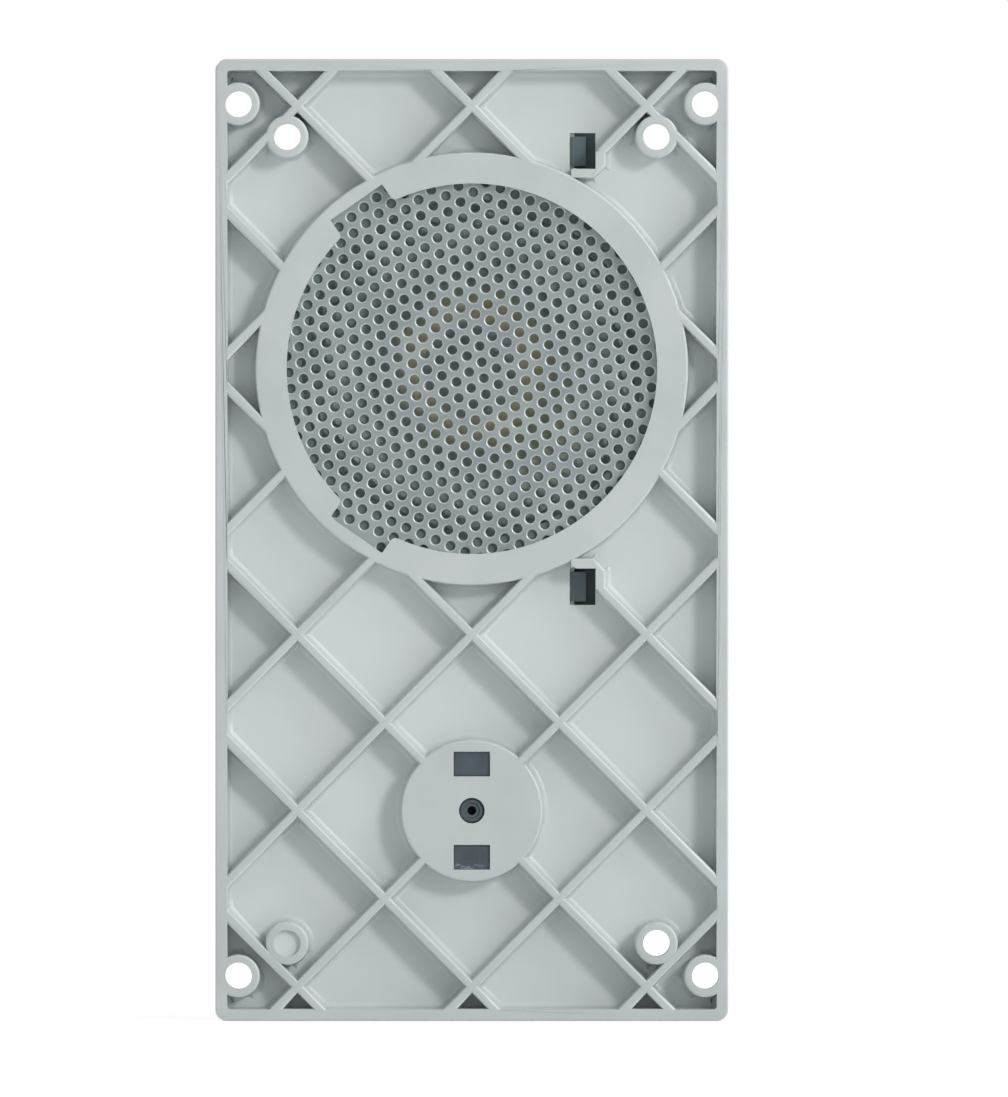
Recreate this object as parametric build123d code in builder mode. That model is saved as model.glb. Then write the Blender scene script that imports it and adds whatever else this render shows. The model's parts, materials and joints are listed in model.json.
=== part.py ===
from build123d import *

import os
from math import cos, hypot, pi, radians, sin, sqrt, tan

# Build-in intercom audio module, in millimetres.
# X runs to the right as seen from the front and Z runs up the long side.
# The ribbed front face bears on a panel at Y = 0, and the body reaches back along +Y.
# The origin is the centre of the corner hole pattern, on the front face.

os.makedirs("parts", exist_ok=True)

# Carrier plate
plate_width = 80.0
plate_height = 150.0
plate_depth = 7.5
floor_thickness = 2.0
rim_width = 1.8
corner_radius = 1.8
draft_angle = 2.5
edge_break = 0.2

# Rib lattice, with a crossing on the microphone's axis
half_pitch_x = 13.6
half_pitch_z = 13.73
rib_flat = 0.9
falling_ribs = range(-4, 11, 2)
rising_ribs = range(-10, 5, 2)
detour_x = 20.2
detour_cut = 1.5
shelf_left = 15.5
shelf_slant = 0.7
upper_shelf_z = 57.15
lower_shelf_z = -3.55

# Screw bosses
boss_radius = 3.3
screw_hole_radius = 2.1
outer_hole_x = 36.4
outer_hole_z = 68.0
inner_hole_x = 28.8
inner_hole_z = 62.9
closed_hole_skin = (1.0, 2.5)

# Loudspeaker mounting
speaker_z = 26.7
ring_radius = 33.7
lip_radius = 28.9
lip_thickness = 2.0
bore_radius = 32.45
notch_angle = 124.8
notch_width = 9.8
notch_reach = 31.6
notch_round = 0.8
collar_radius = 33.6
collar_back = 9.5

# Perforated disc
grille_radius = 32.3
grille_thickness = 0.8
grille_border = 0.25
hole_radius = 0.75
row_pitch = 2.483
row_angle = -22.6
slant_pitch = 2.497
slant_angle = 38.2
first_hole = (-0.42, -0.51)

# Loudspeaker
gasket_inner_radius = 26.5
gasket_thickness = 1.4
film_thickness = 0.3
sheet_thickness = 0.8
flange_radius = 28.5
flange_inner_radius = 25.6
cone_radius = 23.0
cap_radius = 7.6
cone_depth = 3.6
coil_radius = 6.9
pole_radius = 6.5
gap_radius = 8.0
magnet_radius = 16.0
magnet_thickness = 5.5
washer_radius = 14.5
washer_thickness = 1.6
bowl_depth = 5.6
bowl_floor = 17.0
bowl_window_inner = 15.4
bowl_window_outer = 24.6
bowl_windows = [(45, 56), (135, 56), (-45, 56), (-147, 32)]
damping_thickness = 0.6

# Latch windows and the retainer
latch_x = 17.3
latch_reach = 34.0
latch_width = 4.0
latch_height = 5.7
ledge_width = 0.7
retainer_radius = 35.0
retainer_back = 11.3
retainer_seat_inner = 27.4
retainer_seat_thickness = 1.2
retainer_clear_radius = 28.4
retainer_wall_inner = 29.4
web_radius = 29.0
web_count = 12
web_side = 1.2
ear_root = 28.5
ear_reach = 3.4
ear_right = 3.2
blade_front = 5.7
blade_thickness = 1.5
blade_height = 4.6
barb_reach = 0.8
hook_width = 8.0
hook_wall = 1.8
hook_catch = 3.0
hook_back = 13.2

# Microphone
mic_z = -42.2
mic_disc_radius = 11.0
mic_cup_radius = 9.75
mic_face_thickness = 2.0
port_hole_radius = 2.0
port_radius = 0.7
port_step_radius = 1.15
port_step_depth = 0.35
mic_window_width = 5.65
mic_window_height = 3.85
mic_window_offset = 7.27
boot_radius = 5.9
boot_front = 0.5
boot_back = 8.5
capsule_radius = 4.85
capsule_front = 3.2
capsule_length = 4.5
holder_half_width = 3.2
holder_reach = 8.2
holder_back = 10.0
holder_bore = 3.0
arm_half_width = 2.2
arm_thickness = 1.3
arm_head_gap = 0.1
mic_ledge = 0.6
mic_lead_radius = 0.3
mic_lead_spread = 1.27

# Electronics
board_front = 14.0
board_thickness = 1.6
board_half_width = 32.5
board_bottom = -55.0
board_top = -14.0
housing_half_width = 35.0
housing_bottom = -57.5
housing_top = -11.5
housing_back = 26.0
housing_wall = 1.8
housing_corner = 3.0
post_x = 29.0
post_z = (-51.5, -18.0)
post_radius = 3.0
screw_radius = 1.25
board_screw_x = 29.5
board_screw_z = -35.0
seat_depth = 2.4
louvre_field = (-13.0, -20.0)
louvre_size = (20.0, 1.4)
louvre_pitch = 3.4
louvre_count = 6
amplifier_place = (-8.0, -21.5)
amplifier_half = (5.15, 3.0)
controller_place = (-12.5, -34.5)
controller_half = 3.5
capacitor_places = [(5.0, -19.0), (13.0, -19.0), (21.0, -20.0)]
capacitor_radius = 3.15
choke_place = (23.0, -34.0)
choke_radius = 3.0
resistor_corner = (-25.6, -41.0)
resistor_pitch = (3.4, 2.4)

# Pull-off terminal
pole_pitch = 5.0
pole_count = 4
terminal_x = -13.0
header_z = -50.5
header_size = (21.0, 9.0, 6.4)
header_wall = 0.9
pin_side = 1.0
plug_base = 22.1
plug_back = 29.8
plug_top = -46.0
plug_bottom = -57.0
clamp_z = -53.9
clamp_size = (3.4, 4.0, 3.6)
terminal_screw_radius = 1.2
terminal_head_radius = 1.55
running_gap = 0.05

# Setting parts
trimmer_x = (8.0, 20.0)
trimmer_z = -50.0
trimmer_side = 9.5
stem_radius = 2.5
dip_x = 14.0
dip_z = -36.6
dip_size = (6.4, 11.4, 6.0)
slider_pitch = 2.54
slider_count = 4

# Speaker lead
lead_radius = 0.6
lead_spread = 1.2
socket_x = -20.0
tag_angle = -120.0
tag_reach = 21.5

# Values worked out from the driving dimensions
floor_front = plate_depth - floor_thickness
board_back = board_front + board_thickness
grille_back = lip_thickness + grille_thickness
flange_front = grille_back + gasket_thickness
flange_back = flange_front + film_thickness + sheet_thickness
bowl_back = flange_back + bowl_depth
washer_back = bowl_back + washer_thickness
magnet_back = washer_back + magnet_thickness
yoke_back = magnet_back + 2.0
speaker_axis = Axis((0, 0, speaker_z), (0, 1, 0))


# Planes, profiles and small helpers

def front_plane(y):
    """The plane at depth y, drawn as seen from the front; extruding comes forward."""
    return Plane(origin=(0, y, 0), x_dir=(1, 0, 0), z_dir=(0, -1, 0))


def turning_plane(x, z):
    """A half section through an axis along Y: local x is radius and local y is depth."""
    return Plane(origin=(x, 0, z), x_dir=(1, 0, 0), z_dir=(0, 0, 1))


def depth_axis(x, z):
    """An axis along Y through a point of the front plane."""
    return Axis((x, 0, z), (0, 1, 0))


def block(x_range, y_range, z_range, mode=Mode.ADD):
    """A box between three pairs of limits."""
    middle = [(low + high) / 2 for low, high in (x_range, y_range, z_range)]
    with Locations(tuple(middle)):
        Box(x_range[1] - x_range[0], y_range[1] - y_range[0], z_range[1] - z_range[0], mode=mode)


def turned(x, z, points, mode=Mode.ADD):
    """A solid of revolution about the axis along Y at (x, z), from (radius, depth) points."""
    with BuildSketch(turning_plane(x, z)) as profile:
        with BuildLine():
            Polyline(*points, close=True)
        make_face()
    revolve(profile.sketch, axis=depth_axis(x, z), mode=mode)


def drilled(x, z, radius, y_front, y_back):
    """A round hole along Y between two depths."""
    with BuildSketch(front_plane(y_back)) as profile:
        with Locations((x, z)):
            Circle(radius)
    extrude(profile.sketch, amount=y_back - y_front, mode=Mode.SUBTRACT)


def rod(x, z, radius, y_front, y_back):
    """A round bar along Y between two depths."""
    with BuildSketch(front_plane(y_back)) as profile:
        with Locations((x, z)):
            Circle(radius)
    extrude(profile.sketch, amount=y_back - y_front)


def finish(builder, name):
    """Label a finished piece and write it."""
    builder.part.label = name
    export_step(builder.part, f"parts/{name}.step")


def draft(depth):
    """How far a drafted wall leans out over a depth."""
    return depth * tan(radians(draft_angle))


# Rib lattice

def rib_line(count, slope):
    """One diagonal of the lattice, cut off inside the rim; slope is -1 falling, 1 rising."""
    reach_x = (plate_width - rim_width) / 2
    reach_z = (plate_height - rim_width) / 2

    def column_at(z):
        row = (z - mic_z) / half_pitch_z
        return half_pitch_x * (count + slope * row)

    def height_at(x):
        return mic_z + slope * (x / half_pitch_x - count) * half_pitch_z

    crossings = sorted((column_at(-reach_z), column_at(reach_z)))
    low_x = max(-reach_x, crossings[0])
    high_x = min(reach_x, crossings[1])
    return (low_x, height_at(low_x)), (high_x, height_at(high_x))


def rib(start, end):
    """A drafted rib with broken edges between two points of the front plane."""
    along = Vector(end[0] - start[0], 0, end[1] - start[1])
    across = Vector(along.Z, 0, -along.X)
    root = floor_front + floor_thickness / 2
    half_flat = rib_flat / 2
    half_root = half_flat + edge_break + draft(root)
    with BuildSketch(Plane(origin=(start[0], 0, start[1]), x_dir=across, z_dir=along)) as profile:
        with BuildLine():
            Polyline(
                (-half_flat, 0),
                (half_flat, 0),
                (half_flat + edge_break, edge_break),
                (half_root, root),
                (-half_root, root),
                (-half_flat - edge_break, edge_break),
                close=True,
            )
        make_face()
    extrude(profile.sketch, amount=along.length)


def detour_rib(points):
    """A rib that runs through several points, with a drafted post at each bend."""
    for start, end in zip(points, points[1:]):
        rib(start, end)
    for x, z in points[1:-1]:
        post(x, z, rib_flat / 2, floor_front + floor_thickness / 2)


def window_shelf(shelf_z, bend_z, window_z):
    """The flat between a latch window and the ribs that step round it."""
    away = 1 if bend_z > shelf_z else -1
    window_edge = window_z - away * latch_height / 2
    window_right = latch_x + latch_width / 2
    with BuildSketch(front_plane(0)) as profile:
        with BuildLine():
            Polyline(
                (shelf_left, shelf_z),
                (shelf_left + shelf_slant, window_edge),
                (window_right, window_edge),
                (window_right, bend_z),
                (detour_x, bend_z),
                (detour_x, shelf_z + away * detour_cut),
                (detour_x - detour_cut, shelf_z),
                close=True,
            )
        make_face()
    extrude(profile.sketch, amount=-(floor_front + floor_thickness / 2))


def post(x, z, flat_radius, root_depth):
    """A drafted round post from the front plane down to a depth, with a broken edge."""
    turned(x, z, [
        (0, 0),
        (flat_radius, 0),
        (flat_radius + edge_break, edge_break),
        (flat_radius + edge_break + draft(root_depth), root_depth),
        (0, root_depth),
    ])


# Front plate

upper_bend = (detour_x, mic_z + (detour_x / half_pitch_x + 6) * half_pitch_z)
upper_detour = [
    rib_line(-6, 1)[1],
    upper_bend,
    (detour_x, upper_shelf_z + detour_cut),
    (detour_x - detour_cut, upper_shelf_z),
    (shelf_left, upper_shelf_z),
]
lower_bend = (detour_x, mic_z + (4 - detour_x / half_pitch_x) * half_pitch_z)
lower_detour = [
    rib_line(4, -1)[1],
    lower_bend,
    (detour_x, lower_shelf_z - detour_cut),
    (detour_x - detour_cut, lower_shelf_z),
    (shelf_left, lower_shelf_z),
]
corner_signs = [(-1, -1), (1, -1), (-1, 1), (1, 1)]
outer_holes = [(sx * outer_hole_x, sz * outer_hole_z) for sx, sz in corner_signs]
inner_holes = [(sx * inner_hole_x, sz * inner_hole_z) for sx, sz in corner_signs]
closed_hole = inner_holes[0]
housing_posts = [(side * post_x, z) for side in (-1, 1) for z in post_z]
board_posts = [(side * board_screw_x, board_screw_z) for side in (-1, 1)]
window_centres = [(latch_x, speaker_z + latch_reach), (latch_x, speaker_z - latch_reach)]
rear_hook_reach = retainer_radius + 0.3
catch_front = retainer_back + 0.1

with BuildPart() as front_plate:
    # Slab with broken edges, hollowed from the front by a drafted pocket
    with BuildSketch(front_plane(plate_depth)):
        RectangleRounded(plate_width, plate_height, corner_radius)
    extrude(amount=plate_depth)
    front_rim = front_plate.faces().sort_by(Axis.Y)[0].edges()
    chamfer(front_rim, edge_break)
    with BuildSketch(front_plane(0)):
        RectangleRounded(plate_width - 2 * rim_width, plate_height - 2 * rim_width, 0.6)
    extrude(amount=-floor_front, taper=draft_angle, mode=Mode.SUBTRACT)

    # Diagonal ribs, two of which step round the latch windows
    for count in falling_ribs:
        start, end = rib_line(count, -1)
        if count == 4:
            rib(start, (0, mic_z + 4 * half_pitch_z))
        else:
            rib(start, end)
    for count in rising_ribs:
        start, end = rib_line(count, 1)
        if count == -6:
            rib(start, (0, mic_z + 6 * half_pitch_z))
        else:
            rib(start, end)
    detour_rib(upper_detour)
    detour_rib(lower_detour)
    window_shelf(upper_shelf_z, upper_bend[1], speaker_z + latch_reach)
    window_shelf(lower_shelf_z, lower_bend[1], speaker_z - latch_reach)

    # Loudspeaker ring, microphone disc and screw bosses, all flush with the ribs
    post(0, speaker_z, ring_radius - edge_break, floor_front + floor_thickness / 2)
    post(0, mic_z, mic_disc_radius - edge_break, floor_front + floor_thickness / 2)
    for x, z in outer_holes + inner_holes:
        post(x, z, boss_radius - edge_break, floor_front + floor_thickness / 2)

    # Collar behind the ring, posts behind the floor, and fixed hooks for the retainer
    rod(0, speaker_z, collar_radius, plate_depth, collar_back)
    for x, z in housing_posts:
        rod(x, z, post_radius, plate_depth, board_front)
    for x, z in board_posts:
        rod(x, z, post_radius - 0.2, plate_depth, board_front)
    for side in (-1, 1):
        hook_angle = side * notch_angle
        hook_spot = Location((0, 0, speaker_z), (0, -hook_angle, 0))
        with Locations(hook_spot):
            with Locations((rear_hook_reach + hook_wall / 2, (plate_depth + hook_back) / 2, 0)):
                Box(hook_wall, hook_back - plate_depth, hook_width)
            with Locations((rear_hook_reach - 0.3, (catch_front + hook_back) / 2, 0)):
                Box(hook_catch, hook_back - catch_front, hook_width)

    # Stepped bore behind the lip
    drilled(0, speaker_z, lip_radius, -1, lip_thickness)
    drilled(0, speaker_z, bore_radius, lip_thickness, collar_back + 1)

    # Two notches through the lip
    for side in (-1, 1):
        with Locations(Location((0, 0, speaker_z), (0, -side * notch_angle, 0))):
            with Locations(((lip_radius - 4 + notch_reach) / 2, lip_thickness / 2, 0)):
                Box(notch_reach - lip_radius + 4, lip_thickness, notch_width, mode=Mode.SUBTRACT)

    # The notches' corners are rounded where they meet the lip
    notch_corners = [
        edge
        for edge in front_plate.edges().filter_by(Axis.Y)
        if abs(edge.length - lip_thickness) < 0.01
        and abs(hypot(edge.center().X, edge.center().Z - speaker_z) - lip_radius) < 0.05
    ]
    print("notch corners", len(notch_corners))
    fillet(notch_corners, notch_round)

    # Cup behind the microphone disc, its port hole and its two stepped windows
    drilled(0, mic_z, mic_cup_radius, mic_face_thickness, plate_depth + 1)
    drilled(0, mic_z, port_hole_radius, -1, mic_face_thickness)
    for side in (-1, 1):
        centre = mic_z + side * mic_window_offset
        outer = centre + side * mic_window_height / 2
        half_width = mic_window_width / 2
        front_span = sorted((outer, outer - side * mic_window_height))
        back_span = sorted((outer - side * mic_ledge, outer - side * mic_window_height))
        block((-half_width, half_width), (-1, 1.0), front_span, Mode.SUBTRACT)
        block((-half_width, half_width), (0.5, mic_face_thickness), back_span, Mode.SUBTRACT)

    # Latch windows in the floor, each with a ledge for the latch's barb
    for x, z in window_centres:
        left, right = x - latch_width / 2, x + latch_width / 2
        span = (z - latch_height / 2, z + latch_height / 2)
        ledge_front = floor_front + floor_thickness / 2
        block((left, right), (-1, ledge_front), span, Mode.SUBTRACT)
        block((left + ledge_width, right), (floor_front, plate_depth + 1), span, Mode.SUBTRACT)

    # Screw holes; one of the inner ones is closed by a skin
    for x, z in outer_holes + inner_holes:
        if (x, z) == closed_hole:
            drilled(x, z, screw_hole_radius, -1, closed_hole_skin[0])
            drilled(x, z, screw_hole_radius, closed_hole_skin[1], plate_depth + 1)
        else:
            drilled(x, z, screw_hole_radius, -1, plate_depth + 1)
    for x, z in housing_posts + board_posts:
        drilled(x, z, screw_radius, plate_depth + 0.5, board_front + 1)
finish(front_plate, "front_plate")


# Perforated steel disc

def grille_holes():
    """Centres of the full holes, on a triangular pattern turned off the horizontal."""
    reach = grille_radius - hole_radius - grille_border
    row, slant = radians(row_angle), radians(slant_angle)
    count = int(2 * reach / row_pitch)
    centres = []
    for i in range(-count, count + 1):
        for j in range(-count, count + 1):
            x = first_hole[0] + i * row_pitch * cos(row) + j * slant_pitch * cos(slant)
            z = first_hole[1] + i * row_pitch * sin(row) + j * slant_pitch * sin(slant)
            if hypot(x, z) < reach:
                centres.append((x, z + speaker_z))
    return centres


with BuildPart() as speaker_grille:
    with BuildSketch(front_plane(grille_back)):
        with Locations((0, speaker_z)):
            Circle(grille_radius)
        with Locations(*grille_holes()):
            Circle(hole_radius, mode=Mode.SUBTRACT)
    extrude(amount=grille_thickness)
finish(speaker_grille, "speaker_grille")


# Loudspeaker

with BuildPart() as grille_gasket:
    turned(0, speaker_z, [
        (gasket_inner_radius, grille_back),
        (grille_radius - 0.2, grille_back),
        (grille_radius - 0.2, flange_front),
        (gasket_inner_radius, flange_front),
    ])
finish(grille_gasket, "grille_gasket")

with BuildPart() as speaker_surround:
    roll = flange_front + 1.5
    turned(0, speaker_z, [
        (flange_radius, flange_front),
        (flange_radius, flange_front + film_thickness),
        (flange_inner_radius, flange_front + film_thickness),
        (24.9, roll),
        (23.9, roll),
        (23.3, flange_front + 0.9),
        (23.3, flange_front + 0.6),
        (24.1, roll - film_thickness),
        (24.7, roll - film_thickness),
        (flange_inner_radius - 0.1, flange_front),
    ])
finish(speaker_surround, "speaker_surround")

cone_front = flange_front + 0.6
neck = cone_front + cone_depth
corrugations = 5


def cone_outline():
    """The film's two faces, falling from rim to neck with shallow corrugations."""
    steps = 2 * corrugations
    front = []
    for step in range(steps + 1):
        share = step / steps
        radius = cone_radius + (cap_radius - cone_radius) * share
        wave = 0.25 if step % 2 else 0.0
        front.append((radius, cone_front + cone_depth * share + wave))
    back = [(radius, depth + film_thickness) for radius, depth in reversed(front)]
    return front + back


with BuildPart() as speaker_cone:
    turned(0, speaker_z, cone_outline())
finish(speaker_cone, "speaker_cone")

dome_height = 1.6
brim = cap_radius - 0.6
dome_radius = (brim ** 2 + dome_height ** 2) / (2 * dome_height)
middle_rise = sqrt(dome_radius ** 2 - brim ** 2 / 4) - (dome_radius - dome_height)

with BuildPart() as dust_cap:
    back = neck + film_thickness
    with BuildSketch(turning_plane(0, speaker_z)):
        with BuildLine():
            Line((cap_radius, neck), (brim, neck))
            ThreePointArc((brim, neck), (brim / 2, neck - middle_rise), (0, neck - dome_height))
            Line((0, neck - dome_height), (0, back - dome_height))
            ThreePointArc((0, back - dome_height), (brim / 2, back - middle_rise), (brim, back))
            Line((brim, back), (cap_radius, back))
            Line((cap_radius, back), (cap_radius, neck))
        make_face()
    revolve(axis=speaker_axis)
finish(dust_cap, "dust_cap")

with BuildPart() as voice_coil:
    former_back = washer_back + 0.6
    winding_front = bowl_back - 0.7
    turned(0, speaker_z, [
        (coil_radius, neck + film_thickness),
        (coil_radius + 0.2, neck + film_thickness),
        (coil_radius + 0.2, winding_front),
        (coil_radius + 0.6, winding_front),
        (coil_radius + 0.6, former_back),
        (coil_radius, former_back),
    ])
finish(voice_coil, "voice_coil")

with BuildPart() as speaker_basket:
    flange_top = flange_front + film_thickness
    bowl_mouth = flange_inner_radius + 0.2
    turned(0, speaker_z, [
        (flange_radius, flange_top),
        (flange_radius, flange_back),
        (bowl_mouth + sheet_thickness, flange_back),
        (bowl_mouth + sheet_thickness - 0.4, flange_back + 1.9),
        (bowl_floor + 0.5, bowl_back),
        (gap_radius + 0.5, bowl_back),
        (gap_radius + 0.5, bowl_back - sheet_thickness),
        (bowl_floor, bowl_back - sheet_thickness),
        (bowl_mouth - 0.4, flange_back + 1.4),
        (bowl_mouth, flange_top),
    ])
    # Four openings through the bowl's slope
    for middle, spread in bowl_windows:
        first, last = radians(middle - spread / 2), radians(middle + spread / 2)
        with BuildSketch(front_plane(bowl_back + 1)) as opening:
            with Locations((0, speaker_z)):
                Circle(bowl_window_outer)
                Circle(bowl_window_inner, mode=Mode.SUBTRACT)
            with BuildLine():
                Polyline(
                    (0, speaker_z),
                    (2 * flange_radius * cos(first), speaker_z + 2 * flange_radius * sin(first)),
                    (2 * flange_radius * cos(last), speaker_z + 2 * flange_radius * sin(last)),
                    close=True,
                )
            make_face(mode=Mode.INTERSECT)
        extrude(opening.sketch, amount=bowl_depth, mode=Mode.SUBTRACT)
    # Tab that carries the tag strip
    with Locations(Location((0, 0, speaker_z), (0, -tag_angle, 0))):
        with Locations((18.4, bowl_back + 0.125, 0)):
            Box(3.6, 1.75, 5.0)
finish(speaker_basket, "speaker_basket")

with BuildPart() as bowl_damping:
    lining_mouth = bowl_window_outer + 0.2
    lining_back = bowl_back - sheet_thickness
    mouth_back = flange_back + 1.4 + (
        (bowl_mouth - 0.4 - lining_mouth) * (lining_back - flange_back - 1.4)
        / (bowl_mouth - 0.4 - bowl_floor)
    )
    turned(0, speaker_z, [
        (lining_mouth, mouth_back),
        (bowl_floor, lining_back),
        (bowl_window_inner - 0.4, lining_back),
        (bowl_window_inner - 0.4, lining_back - damping_thickness),
        (bowl_floor, lining_back - damping_thickness),
        (lining_mouth, mouth_back - damping_thickness),
    ])
finish(bowl_damping, "bowl_damping")

with BuildPart() as top_washer:
    turned(0, speaker_z, [
        (gap_radius, bowl_back),
        (washer_radius, bowl_back),
        (washer_radius, washer_back),
        (gap_radius, washer_back),
    ])
finish(top_washer, "top_washer")

with BuildPart() as magnet:
    turned(0, speaker_z, [
        (gap_radius + 0.6, washer_back),
        (magnet_radius - 0.4, washer_back),
        (magnet_radius, washer_back + 0.4),
        (magnet_radius, magnet_back - 0.4),
        (magnet_radius - 0.4, magnet_back),
        (gap_radius + 0.6, magnet_back),
    ])
finish(magnet, "magnet")

with BuildPart() as yoke:
    turned(0, speaker_z, [
        (0, bowl_back),
        (pole_radius, bowl_back),
        (pole_radius, magnet_back),
        (washer_radius, magnet_back),
        (washer_radius, yoke_back - 0.5),
        (washer_radius - 0.5, yoke_back),
        (0, yoke_back),
    ])
    drilled(0, speaker_z, 1.6, bowl_back - 1, yoke_back + 1)
finish(yoke, "yoke")

strip_front = bowl_back + 1.0
strip_back = strip_front + 1.0
tag_centres = [
    (
        tag_reach * cos(radians(tag_angle)) - side * 3.4 * sin(radians(tag_angle)),
        speaker_z + tag_reach * sin(radians(tag_angle)) + side * 3.4 * cos(radians(tag_angle)),
    )
    for side in (-1, 1)
]

with BuildPart() as tag_strip:
    with Locations(Location((0, 0, speaker_z), (0, -tag_angle, 0))):
        with Locations((tag_reach, (strip_front + strip_back) / 2, 0)):
            Box(8.0, strip_back - strip_front, 13.0)
finish(tag_strip, "tag_strip")

tag_back = strip_back + 0.4
with BuildPart() as speaker_tags:
    for side in (-1, 1):
        with Locations(Location((0, 0, speaker_z), (0, -tag_angle, 0))):
            with Locations((tag_reach + 0.5, (strip_back + tag_back) / 2, side * 3.4)):
                Box(6.4, tag_back - strip_back, 2.6)
finish(speaker_tags, "speaker_tags")

# Retaining ring with two latch arms and two lugs

with BuildPart() as speaker_retainer:
    skirt_inner = flange_radius + 0.1
    seat_back = flange_back + retainer_seat_thickness
    turned(0, speaker_z, [
        (skirt_inner, flange_front + 0.2),
        (bore_radius - 0.2, flange_front + 0.2),
        (bore_radius - 0.2, collar_back),
        (retainer_radius, collar_back),
        (retainer_radius, retainer_back),
        (retainer_wall_inner, retainer_back),
        (retainer_wall_inner, seat_back),
        (retainer_seat_inner, seat_back),
        (retainer_seat_inner, flange_back),
        (skirt_inner, flange_back),
    ])
    # Stiffening webs inside the ring
    web_step = 360 / web_count
    for index in range(web_count):
        with Locations(Location((0, 0, speaker_z), (0, web_step * (index + 0.5), 0))):
            with Locations((web_radius, (seat_back + retainer_back) / 2, 0)):
                Box(web_side, retainer_back - seat_back, web_side)
    # Ears over the windows, their blades and the barbs that catch on the ledges
    for x, z in window_centres:
        side = 1 if z > speaker_z else -1
        inner_z = speaker_z + side * ear_root
        outer_z = z + side * ear_reach
        ear_span = sorted((inner_z, outer_z))
        block((x - ear_reach, x + ear_right), (collar_back, retainer_back), ear_span)
        blade_left = x - latch_width / 2 + ledge_width + 0.3
        blade_span = (z - blade_height / 2, z + blade_height / 2)
        blade_right = blade_left + blade_thickness
        block((blade_left, blade_right), (blade_front, collar_back + 0.5), blade_span)
        ledge_front = floor_front + floor_thickness / 2
        block((blade_left - barb_reach, blade_left + 0.1), (blade_front, ledge_front), blade_span)
    drilled(0, speaker_z, retainer_seat_inner, 0, seat_back)
    drilled(0, speaker_z, retainer_clear_radius, seat_back, retainer_back + 1)
finish(speaker_retainer, "speaker_retainer")


# Microphone

with BuildPart() as mic_boot:
    turned(0, mic_z, [
        (port_radius, boot_front + port_step_depth),
        (port_step_radius, boot_front + port_step_depth),
        (port_step_radius + 0.15, boot_front),
        (port_hole_radius - 0.35, boot_front),
        (port_hole_radius - 0.05, boot_front + 0.3),
        (port_hole_radius - 0.05, mic_face_thickness),
        (boot_radius, mic_face_thickness),
        (boot_radius, boot_back),
        (capsule_radius, boot_back),
        (capsule_radius, capsule_front),
        (port_radius, capsule_front),
    ])
finish(mic_boot, "mic_boot")

capsule_back = capsule_front + capsule_length
with BuildPart() as mic_capsule:
    turned(0, mic_z, [
        (0, capsule_front),
        (capsule_radius, capsule_front),
        (capsule_radius, capsule_back),
        (capsule_radius - 0.5, capsule_back),
        (capsule_radius - 0.5, capsule_back - 0.3),
        (0, capsule_back - 0.3),
    ])
finish(mic_capsule, "mic_capsule")

with BuildPart() as mic_holder:
    strap_span = (mic_z - holder_reach, mic_z + holder_reach)
    block((-holder_half_width, holder_half_width), (boot_back, holder_back), strap_span)
    for side in (-1, 1):
        arm_outer = mic_z + side * holder_reach
        arm_span = sorted((arm_outer - side * arm_thickness, arm_outer))
        block((-arm_half_width, arm_half_width), (boot_front + 0.1, boot_back + 0.5), arm_span)
        # Head that fills the window, with a barb on the window's ledge
        head_half = mic_window_width / 2 - arm_head_gap
        head_inner = mic_window_offset - mic_window_height / 2 + arm_head_gap
        head_outer = mic_window_offset + mic_window_height / 2 - arm_head_gap
        barb_span = sorted((mic_z + side * head_inner, mic_z + side * head_outer))
        head_span = sorted((mic_z + side * head_inner, mic_z + side * (head_outer - mic_ledge)))
        block((-head_half, head_half), (boot_front, 1.0), barb_span)
        block((-head_half, head_half), (0.9, mic_face_thickness - 0.1), head_span)
    drilled(0, mic_z, holder_bore, boot_back - 0.5, holder_back + 1)
finish(mic_holder, "mic_holder")

with BuildPart() as mic_leads:
    for side in (-1, 1):
        rod(side * mic_lead_spread, mic_z, mic_lead_radius, capsule_back - 0.3, board_back + 0.8)
finish(mic_leads, "mic_leads")


# Circuit board and what stands on it

pole_places = [
    terminal_x + pole_pitch * (index - (pole_count - 1) / 2) for index in range(pole_count)
]
board_centre = (0, (board_bottom + board_top) / 2)
pin_front = board_front - 1.2

with BuildPart() as circuit_board:
    with BuildSketch(front_plane(board_back)):
        with Locations(board_centre):
            RectangleRounded(2 * board_half_width, board_top - board_bottom, 1.5)
        with Locations(*housing_posts):
            Circle(screw_radius + 0.35, mode=Mode.SUBTRACT)
        with Locations(*board_posts):
            Circle(screw_radius + 0.15, mode=Mode.SUBTRACT)
        with Locations(*[(x, header_z) for x in pole_places]):
            Circle(0.8, mode=Mode.SUBTRACT)
        with Locations((-mic_lead_spread, mic_z), (mic_lead_spread, mic_z)):
            Circle(0.45, mode=Mode.SUBTRACT)
    extrude(amount=board_thickness)
finish(circuit_board, "circuit_board")


def pan_screw(x, z, head_radius, head_front, head_height, shank_front):
    """A pan-head screw along Y with a cross recess in its back."""
    back = head_front + head_height
    turned(x, z, [
        (0, shank_front),
        (screw_radius - 0.5, shank_front),
        (screw_radius, shank_front + 0.9),
        (screw_radius, head_front),
        (head_radius, head_front),
        (head_radius, back - 0.6),
        (head_radius - 0.7, back),
        (0, back),
    ])
    for size_x, size_z in ((0.6, 2.6), (2.6, 0.6)):
        x_range = (x - size_x / 2, x + size_x / 2)
        z_range = (z - size_z / 2, z + size_z / 2)
        block(x_range, (back - 1.0, back + 0.5), z_range, Mode.SUBTRACT)


with BuildPart() as board_screws:
    for x, z in board_posts:
        pan_screw(x, z, 2.3, board_back, 1.6, plate_depth + 1.0)
finish(board_screws, "board_screws")


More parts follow.
